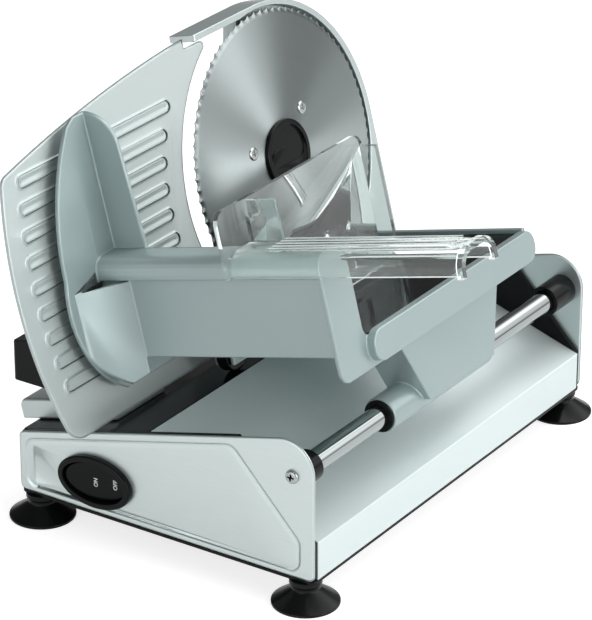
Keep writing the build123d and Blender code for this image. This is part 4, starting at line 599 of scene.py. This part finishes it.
def press_sheet(node, facing, raised, slope, rounding):
    """A copy of a pressed sheet whose upright steps become rounded slopes."""
    shape = merged_copy(node)
    flats = [face for face in shape.faces if face.normal.dot(facing) > SAME_FACING]
    levels = sorted({round(face.calc_center_median().dot(facing), 5) for face in flats})
    level, ground = (levels[-1], levels[-2]) if raised else (levels[-2], levels[-1])
    pressed = [face for face in flats if abs(face.calc_center_median().dot(facing) - level) < FIELD_GAP]
    step = ground - level
    rim = [
        vert for vert in {vert for face in pressed for vert in face.verts}
        if any(abs((edge.other_vert(vert).co - vert.co).dot(facing) - step) < LEVEL_GAP for edge in vert.link_edges)
    ]
    bmesh.ops.inset_region(
        shape, faces=pressed, thickness=slope, depth=0, use_boundary=True, use_even_offset=True)
    bmesh.ops.translate(shape, verts=rim, vec=step * facing)
    bmesh.ops.remove_doubles(shape, verts=shape.verts, dist=MERGE_GAP)
    weights = shape.edges.layers.float.new("bevel_weight_edge")
    for edge in shape.edges:
        first, last = edge.verts
        level_edge = abs((first.co - last.co).dot(facing)) < LEVEL_GAP
        if level_edge and edge.is_manifold and edge.calc_face_angle() > math.radians(PRESS_TURN):
            edge[weights] = 1
    piece = finished_piece(node, shape)
    smooth_by_angle(piece.data, SHARP_TURN)
    round_edges(piece, rounding, WIDE_SEGMENTS, PRESS_TURN)
    piece.modifiers[0].limit_method = "WEIGHT"
    calm_corners(piece, rounding)
    return piece


def ridged_pusher():
    """The clear pusher, with the tops of its highest finger ridges given a whitish finish as a painted highlight."""
    shape = merged_copy("pusher")
    shape.faces.index_update()
    ridges = []
    for face in shape.faces:
        across = [vert.co.dot(ACROSS) for vert in face.verts]
        back = [vert.co.dot(BACK) for vert in face.verts]
        long = max(across) - min(across) > RIDGE_LEAST_LENGTH
        narrow = max(back) - min(back) < RIDGE_MOST_WIDTH
        if face.normal.dot(RISE) > RIDGE_FACING and long and narrow:
            ridges.append((face.calc_center_median().dot(RISE), face.index))
    top = max(height for height, index in ridges)
    piece = finished_piece("pusher", shape)
    smooth_by_angle(piece.data, SHARP_TURN)
    # Painted highlight: the tops of the highest ridges get a whitish, mostly opaque finish that stands for the bright
    # lines light makes on clear ribs.
    ridge_highlight = grained(
        "ridge_painted_highlight", (0.82, 0.88, 0.87), 0.0, 0.35, grain=1500.0, spread=0.03, Transmission_Weight=0.1, IOR=1.2)
    piece.data.materials.append(ridge_highlight)
    for height, index in ridges:
        piece.data.polygons[index].material_index = int(height > top - RIDGE_TOP_GAP)
    return piece


def dress(*nodes):
    """Gives CAD nodes that keep their shape their finishes."""
    for node in nodes:
        mesh = NODES[node].data
        mesh.materials.clear()
        mesh.materials.append(finish_of(SLOT_OF[node]))


def place_matrix(origin, right, up):
    """Turns a shape drawn in X and Y, facing Z, to a place on the object."""
    facing = right.cross(up)
    turn = Matrix((right, up, facing)).transposed().to_4x4()
    return Matrix.Translation(origin) @ turn


def word_piece(name, body_text, height, place, body, slot, material):
    """A flat raised word, made a mesh before its place is applied."""
    curve = bpy.data.curves.new(name, "FONT")
    curve.body = body_text
    curve.size = height / CAPITAL_SHARE
    curve.extrude = WORD_DEPTH
    curve.offset = WORD_WEIGHT
    curve.align_x = "CENTER"
    curve.align_y = "CENTER"
    holder = bpy.data.objects.new(name + "_curve", curve)
    bpy.context.scene.collection.objects.link(holder)
    bpy.context.view_layer.update()
    depsgraph = bpy.context.evaluated_depsgraph_get()
    mesh = bpy.data.meshes.new_from_object(holder.evaluated_get(depsgraph))
    bpy.data.objects.remove(holder)
    bpy.data.curves.remove(curve)
    mesh.transform(place)
    mesh.name = name
    return link_piece(name, mesh, body, slot, material)


def extruded_ring(shape, loop):
    """Extrudes a loop of edges and returns the new loop's points and edges."""
    made = bmesh.ops.extrude_edge_only(shape, edges=loop)["geom"]
    verts = {item for item in made if isinstance(item, bmesh.types.BMVert)}
    edges = [item for item in made if isinstance(item, bmesh.types.BMEdge) and all(v in verts for v in item.verts)]
    return verts, edges


def crossed_head(place, radius, height):
    """One domed screw head with a cross recess, as a bmesh."""
    shape = bmesh.new()
    half, arm, flat = CROSS_HALF * radius, CROSS_ARM * radius, HEAD_FLAT * radius
    corners = ((half, half), (half, arm), (-half, arm))
    cross = []
    for turn in range(4):
        quarter = Matrix.Rotation(turn * math.pi / 2, 3, "Z")
        cross.extend(shape.verts.new(quarter @ Vector((x, y, height))) for x, y in corners)
    recess = shape.faces.new(cross)
    ring = bmesh.ops.create_circle(shape, segments=HEAD_SEGMENTS, radius=flat)["verts"]
    bmesh.ops.translate(shape, verts=ring, vec=(0, 0, height))
    edge = list({edge for vert in ring for edge in vert.link_edges})
    bmesh.ops.bridge_loops(shape, edges=edge + list(recess.edges))
    for reach, drop in HEAD_PROFILE:
        rim, edge = extruded_ring(shape, edge)
        for vert in rim:
            outward = Vector((vert.co.x, vert.co.y, 0)).normalized()
            vert.co = reach * radius * outward + Vector((0, 0, height * (1 - drop)))
    bmesh.ops.edgeloop_fill(shape, edges=edge)
    floor = bmesh.ops.extrude_face_region(shape, geom=[recess])["geom"]
    sunk = [item for item in floor if isinstance(item, bmesh.types.BMVert)]
    bmesh.ops.scale(shape, vec=(CROSS_TAPER, CROSS_TAPER, 1), verts=sunk)
    bmesh.ops.translate(shape, verts=sunk, vec=(0, 0, -CROSS_DEPTH * height))
    if recess.is_valid:
        bmesh.ops.delete(shape, geom=[recess], context="FACES_ONLY")
    bmesh.ops.recalc_face_normals(shape, faces=shape.faces)
    bmesh.ops.transform(shape, matrix=place, verts=shape.verts)
    return shape


def crossed_screws(name, places, radius, height, body):
    """Screw heads with a cross recess, at places given as matrices facing Z."""
    whole = bmesh.new()
    for place in places:
        head = crossed_head(place, radius, height)
        scratch = bpy.data.meshes.new("head")
        head.to_mesh(scratch)
        head.free()
        whole.from_mesh(scratch)
        bpy.data.meshes.remove(scratch)
    mesh = bpy.data.meshes.new(name)
    whole.to_mesh(mesh)
    whole.free()
    smooth_by_angle(mesh, HEAD_TURN)
    return link_piece(name, mesh, body, "screw_steel")


def scalloped_blade(edges):
    """The blade's disc with a ground ring and scalloped teeth."""
    points = [vert.co - BLADE_CENTRE for vert in NODES["blade"].data.vertices]
    radii = [(point - point.dot(ACROSS) * ACROSS).length for point in points]
    outer, bore = max(radii), min(radii)
    front = max(point.dot(ACROSS) for point in points)
    thick = front - min(point.dot(ACROSS) for point in points)
    shape = bmesh.new()
    start = bmesh.ops.create_circle(shape, segments=TOOTH_STEPS * edges.teeth, radius=bore)["verts"]
    loop = list({edge for vert in start for edge in vert.link_edges})
    inner = outer - edges.bevel_ring
    rings = (
        # radius, depth behind the front face, share of the scallop, dip in each valley
        (inner - 0.3 * MM, 0, 0, 0), (inner, 0.02 * MM, 0, 0), (inner + 1.0 * MM, 0.25 * MM, 0, 0.03 * MM),
        (inner + 2.2 * MM, 0.5 * MM, 0.4, 0.08 * MM), (outer, 1.2 * MM, 1, 0), (outer, thick, 1, 0),
        (bore, thick, 0, 0),
    )
    for radius, depth, share, dip in rings:
        verts, loop = extruded_ring(shape, loop)
        for vert in verts:
            angle = math.atan2(vert.co.y, vert.co.x)
            along = angle * edges.teeth / (2 * math.pi) % 1
            valley = 1 - (2 * along - 1) ** 2
            reach = radius - edges.scallop * share * valley
            vert.co = (reach * math.cos(angle), reach * math.sin(angle), -depth - dip * valley)
    bmesh.ops.bridge_loops(shape, edges=[edge for edge in shape.edges if edge.is_boundary])
    bmesh.ops.recalc_face_normals(shape, faces=shape.faces)
    place = place_matrix(BLADE_CENTRE + front * ACROSS, BACK, RISE)
    bmesh.ops.transform(shape, matrix=place, verts=shape.verts)
    piece = finished_piece("blade", shape)
    smooth_by_angle(piece.data, BLADE_TURN)
    return piece


class SlicerOperator:
    """Shared settings of the building operators."""

    bl_options = {"REGISTER"}


class SLICER_OT_base(SlicerOperator, bpy.types.Operator):
    """Rounds and finishes the base's panels, covers and floor"""

    bl_idname = "slicer.base"
    bl_label = "Base"

    def execute(self, context):
        edges = context.scene.slicer_edges
        press_sheet("front_panel", -BACK, False, edges.panel_slope, edges.press_round)
        press_sheet("rear_panel", BACK, False, edges.panel_slope, edges.press_round)
        satin = brushed(
            "tray_satin", context.scene.slicer_finish.tray, 0.45, 0.46, (60.0, 1500.0, 1500.0), spread=0.04)
        soften("tray_cover", edges.sheet, material=satin)
        soften("deck_cover", edges.sheet)
        for node in ("front_end_frame", "rear_end_frame", "bottom_plate"):
            soften(node, edges.fine)
        return {"FINISHED"}


class SLICER_OT_feet(SlicerOperator, bpy.types.Operator):
    """Rounds and finishes the four suction feet"""

    bl_idname = "slicer.feet"
    bl_label = "Suction feet"

    def execute(self, context):
        for end in ("front", "rear"):
            for side in ("left", "right"):
                soften(f"foot_{end}_{side}", context.scene.slicer_edges.fine)
        return {"FINISHED"}


class SLICER_OT_guide_rod(SlicerOperator, bpy.types.Operator):
    """Finishes the guide rod, its collars and its end screws"""

    bl_idname = "slicer.guide_rod"
    bl_label = "Guide rod"

    def execute(self, context):
        edges = context.scene.slicer_edges
        soften("guide_rod", edges.fine)
        soften("rod_collar_front", edges.moulding)
        soften("rod_collar_rear", edges.moulding)
        low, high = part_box("rod_screws")
        middle = (low + high) / 2
        front, rear = Vector((middle.x, low.y, middle.z)), Vector((middle.x, high.y, middle.z))
        radius, inward = (high.x - low.x) / 2, ROD_HEAD_HEIGHT * BACK
        right, up = Vector((1, 0, 0)), Vector((0, 0, 1))
        places = (place_matrix(front + inward, right, up), place_matrix(rear - inward, -right, up))
        heads = crossed_screws("rod_screw_heads", places, radius, ROD_HEAD_HEIGHT, "base")
        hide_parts("rod_screws")
        return {"FINISHED"}


class SLICER_OT_switch(SlicerOperator, bpy.types.Operator):
    """Finishes the switch and prints its words"""

    bl_idname = "slicer.switch"
    bl_label = "Switch"

    def execute(self, context):
        edges = context.scene.slicer_edges
        soften("switch_bezel", edges.fine)
        rocker = soften("switch_rocker", edges.fine)
        dress("switch_body")
        face = max(rocker.data.polygons, key=lambda polygon: -polygon.normal.y * polygon.area)
        facing, middle = face.normal.copy(), face.center.copy()
        upward = Vector((0, 0, 1))
        upward = (upward - upward.dot(facing) * facing).normalized()
        sideways = facing.cross(upward)
        print_ink = grained("switch_print", context.scene.slicer_finish.lettering, 0.0, 0.5, grain=1800.0)
        for word, aside, above in WORDS:
            place = middle + aside * sideways + above * upward + WORD_LIFT * facing
            word_piece(
                "switch_" + word.lower(), word, edges.letter_height, place_matrix(place, upward, sideways),
                "rocker", "black_plastic", print_ink)
        return {"FINISHED"}


class SLICER_OT_housing(SlicerOperator, bpy.types.Operator):
    """Rounds and finishes the blade housing, the motor cover and the cord gland"""

    bl_idname = "slicer.housing"
    bl_label = "Housing"

    def execute(self, context):
        edges = context.scene.slicer_edges
        soften("blade_housing", edges.casting)
        soften("motor_cover", edges.moulding)
        soften("cord_gland", edges.fine)
        return {"FINISHED"}


class SLICER_OT_blade(SlicerOperator, bpy.types.Operator):
    """Finishes the blade, its carrier, screws and lock"""

    bl_idname = "slicer.blade"
    bl_label = "Blade"

    def execute(self, context):
        edges = context.scene.slicer_edges
        scalloped_blade(edges)
        front = max(vert.co.dot(ACROSS) for vert in NODES["blade_screws"].data.vertices)
        places = []
        for index in range(BLADE_SCREW_COUNT):
            angle = math.radians(BLADE_SCREW_START + 360 / BLADE_SCREW_COUNT * index)
            spot = BLADE_CENTRE + BLADE_SCREW_CIRCLE * (math.cos(angle) * BACK + math.sin(angle) * RISE)
            spot += (front - BLADE_HEAD_HEIGHT - spot.dot(ACROSS)) * ACROSS
            places.append(place_matrix(spot, BACK, RISE))
        heads = crossed_screws(
            "blade_screw_heads", places, BLADE_HEAD_RADIUS, BLADE_HEAD_HEIGHT, BODY_OF["blade_screws"])
        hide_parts("blade_screws")
        soften("blade_lock", edges.fine)
        dress("blade_carrier")
        return {"FINISHED"}


class SLICER_OT_drive(SlicerOperator, bpy.types.Operator):
    """Finishes the motor, the worm and its wheel inside the cover"""

    bl_idname = "slicer.drive"
    bl_label = "Drive"

    def execute(self, context):
        dress("shaft_bush", "drive_gear", "gear_retainer", "motor_can", "motor_rotor", "motor_cup", "worm_block")
        return {"FINISHED"}


class SLICER_OT_fence(SlicerOperator, bpy.types.Operator):
    """Finishes the fence, its slide and the thickness setting"""

    bl_idname = "slicer.fence"
    bl_label = "Fence"

    def execute(self, context):
        edges = context.scene.slicer_edges
        press_sheet("fence_plate", ACROSS, True, edges.rib, edges.rib_round)
        soften("fence_slide", edges.slide)
        for node in ("fence_arm", "thickness_knob", "guide_block"):
            soften(node, edges.moulding)
        soften("slide_screws", edges.fine)
        dress("fence_nut", "thickness_spindle")
        return {"FINISHED"}


class SLICER_OT_carriage(SlicerOperator, bpy.types.Operator):
    """Rounds and finishes the carriage, its table, bushes and roller"""

    bl_idname = "slicer.carriage"
    bl_label = "Carriage"

    def execute(self, context):
        edges = context.scene.slicer_edges
        soften("carriage_body", edges.carriage, WIDE_SEGMENTS)
        for node in ("carriage_table", "rod_bush_front", "rod_bush_rear"):
            soften(node, edges.fine)
        soften("deck_roller", edges.moulding)
        soften("roller_pin", edges.fine)
        return {"FINISHED"}


class SLICER_OT_pusher(SlicerOperator, bpy.types.Operator):
    """Finishes the clear pusher"""

    bl_idname = "slicer.pusher"
    bl_label = "Pusher"

    def execute(self, context):
        ridged_pusher()
        return {"FINISHED"}


def floor_material():
    """Pale floor that shows white where it is lit and keeps the soft shadow."""
    material = bpy.data.materials.new("studio_floor")
    material.use_nodes = True
    tree = material.node_tree
    tree.nodes.remove(tree.nodes["Principled BSDF"])
    surface = add_node(tree, "ShaderNodeBsdfDiffuse")
    surface.inputs["Color"].default_value = (FLOOR_TONE, FLOOR_TONE, FLOOR_TONE, 1)
    glow = add_node(tree, "ShaderNodeEmission")
    glow.inputs["Color"].default_value = (1, 1, 1, 1)
    path = add_node(tree, "ShaderNodeLightPath")
    seen = add_node(tree, "ShaderNodeMath", operation="MAXIMUM")
    mirrored = add_node(tree, "ShaderNodeMath", operation="MULTIPLY")
    mirrored.inputs[1].default_value = FLOOR_MIRRORED
    strength = add_node(tree, "ShaderNodeMath", operation="MULTIPLY_ADD")
    strength.inputs[1].default_value = FLOOR_GLOW
    both = add_node(tree, "ShaderNodeAddShader")
    link = tree.links.new
    link(path.outputs["Is Camera Ray"], seen.inputs[0])
    link(path.outputs["Is Transmission Ray"], seen.inputs[1])
    link(path.outputs["Is Glossy Ray"], mirrored.inputs[0])
    link(seen.outputs[0], strength.inputs[0])
    link(mirrored.outputs[0], strength.inputs[2])
    link(strength.outputs[0], glow.inputs["Strength"])
    link(surface.outputs[0], both.inputs[0])
    link(glow.outputs[0], both.inputs[1])
    link(both.outputs[0], tree.nodes["Material Output"].inputs["Surface"])
    return material


def studio_world(scene):
    """Soft patches of light on a dim room, white where the camera looks at it."""
    world = bpy.data.worlds.new("studio")
    scene.world = world
    world.use_nodes = True
    tree = world.node_tree
    link = tree.links.new
    background = tree.nodes["Background"]
    background.inputs["Color"].default_value = (1, 1, 1, 1)
    place = add_node(tree, "ShaderNodeTexCoord")
    level = None
    for azimuth, elevation, sharpness, strength in LIGHT_PATCHES:
        turn, lift = math.radians(azimuth), math.radians(elevation)
        aim = add_node(tree, "ShaderNodeVectorMath", operation="DOT_PRODUCT")
        aim.inputs[1].default_value = (
            math.sin(turn) * math.cos(lift), -math.cos(turn) * math.cos(lift), math.sin(lift))
        facing = add_node(tree, "ShaderNodeMath", operation="MAXIMUM")
        facing.inputs[1].default_value = 0
        patch = add_node(tree, "ShaderNodeMath", operation="POWER")
        patch.inputs[1].default_value = sharpness
        total = add_node(tree, "ShaderNodeMath", operation="MULTIPLY_ADD")
        total.inputs[1].default_value = strength
        total.inputs[2].default_value = ROOM_LIGHT
        link(place.outputs["Generated"], aim.inputs[0])
        link(aim.outputs["Value"], facing.inputs[0])
        link(facing.outputs[0], patch.inputs[0])
        link(patch.outputs[0], total.inputs[0])
        if level is not None:
            link(level, total.inputs[2])
        level = total.outputs[0]
    path = add_node(tree, "ShaderNodeLightPath")
    direct = add_node(tree, "ShaderNodeMath", operation="MAXIMUM")
    seen = add_node(tree, "ShaderNodeMix", data_type="FLOAT")
    seen.inputs["B"].default_value = 1
    link(path.outputs["Is Camera Ray"], direct.inputs[0])
    link(path.outputs["Is Transmission Ray"], direct.inputs[1])
    link(direct.outputs[0], seen.inputs["Factor"])
    link(level, seen.inputs["A"])
    link(seen.outputs["Result"], background.inputs["Strength"])


def add_lamp(name, place, aim, size, power):
    """A soft square lamp that points at a place."""
    data = bpy.data.lights.new(name, "AREA")
    data.shape = "SQUARE"
    data.size = size
    data.energy = power
    lamp = bpy.data.objects.new(name, data)
    lamp.location = place
    lamp.rotation_euler = (aim - place).to_track_quat("-Z", "Y").to_euler()
    bpy.context.scene.collection.objects.link(lamp)


class SLICER_OT_stage(SlicerOperator, bpy.types.Operator):
    """Sets the floor, the light and the camera"""

    bl_idname = "slicer.stage"
    bl_label = "Stage"

    def execute(self, context):
        scene = context.scene
        stage = scene.slicer_stage
        low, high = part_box("bottom_plate")
        target = Vector(((low.x + high.x) / 2, (low.y + high.y) / 2, high.z + stage.target_height))
        towards = Vector((
            math.sin(stage.azimuth) * math.cos(stage.elevation),
            -math.cos(stage.azimuth) * math.cos(stage.elevation),
            math.sin(stage.elevation),
        ))
        right = Vector((math.cos(stage.azimuth), math.sin(stage.azimuth), 0))
        up = towards.cross(right)
        data = bpy.data.cameras.new("view")
        data.sensor_width = SENSOR_WIDTH
        data.lens = stage.lens
        data.clip_end = CLIP_END
        camera = bpy.data.objects.new("view", data)
        camera.location = target + stage.distance * towards
        focal = stage.lens / SENSOR_WIDTH * PICTURE_SIDE
        sight = -focal * towards + SIGHT_RIGHT * right + SIGHT_UP * up
        camera.rotation_euler = sight.to_track_quat("-Z", "Y").to_euler()
        scene.collection.objects.link(camera)
        scene.camera = camera
        shape = bmesh.new()
        bmesh.ops.create_grid(shape, x_segments=1, y_segments=1, size=FLOOR_SIZE)
        mesh = bpy.data.meshes.new("floor")
        shape.to_mesh(mesh)
        shape.free()
        mesh.materials.append(floor_material())
        floor = bpy.data.objects.new("floor", mesh)
        scene.collection.objects.link(floor)
        studio_world(scene)
        add_lamp("fill lamp", target + FILL_PLACE, target, FILL_SIZE, stage.fill)
        add_lamp("top lamp", target + TOP_PLACE, target, TOP_SIZE, stage.top)
        scene.view_settings.view_transform = "Standard"
        return {"FINISHED"}


STEPS = (
    SLICER_OT_base, SLICER_OT_feet, SLICER_OT_guide_rod, SLICER_OT_switch, SLICER_OT_housing, SLICER_OT_blade,
    SLICER_OT_drive, SLICER_OT_fence, SLICER_OT_carriage, SLICER_OT_pusher, SLICER_OT_stage,
)


class SLICER_PT_panel(bpy.types.Panel):
    """Lists the sizes, the finishes and the steps"""

    bl_idname = "SLICER_PT_panel"
    bl_label = "Food slicer"
    bl_space_type = "VIEW_3D"
    bl_region_type = "UI"
    bl_category = "Slicer"

    def draw(self, context):
        scene = context.scene
        for settings in (scene.slicer_edges, scene.slicer_finish, scene.slicer_stage):
            box = self.layout.box()
            for name in settings.__annotations__:
                box.prop(settings, name)
        for step in STEPS:
            self.layout.operator(step.bl_idname)


CLASSES = (SlicerEdges, SlicerFinish, SlicerStage, *STEPS, SLICER_PT_panel)


def register():
    for item in CLASSES:
        bpy.utils.register_class(item)
    bpy.types.Scene.slicer_edges = PointerProperty(type=SlicerEdges)
    bpy.types.Scene.slicer_finish = PointerProperty(type=SlicerFinish)
    bpy.types.Scene.slicer_stage = PointerProperty(type=SlicerStage)


def unregister():
    for name in ("slicer_edges", "slicer_finish", "slicer_stage"):
        delattr(bpy.types.Scene, name)
    for item in reversed(CLASSES):
        bpy.utils.unregister_class(item)


def main():
    """Builds the pieces in order."""
    register()
    for step in STEPS:
        group, name = step.bl_idname.split(".")
        getattr(getattr(bpy.ops, group), name)()
    bpy.context.view_layer.update()


if __name__ == "__main__":
    main()
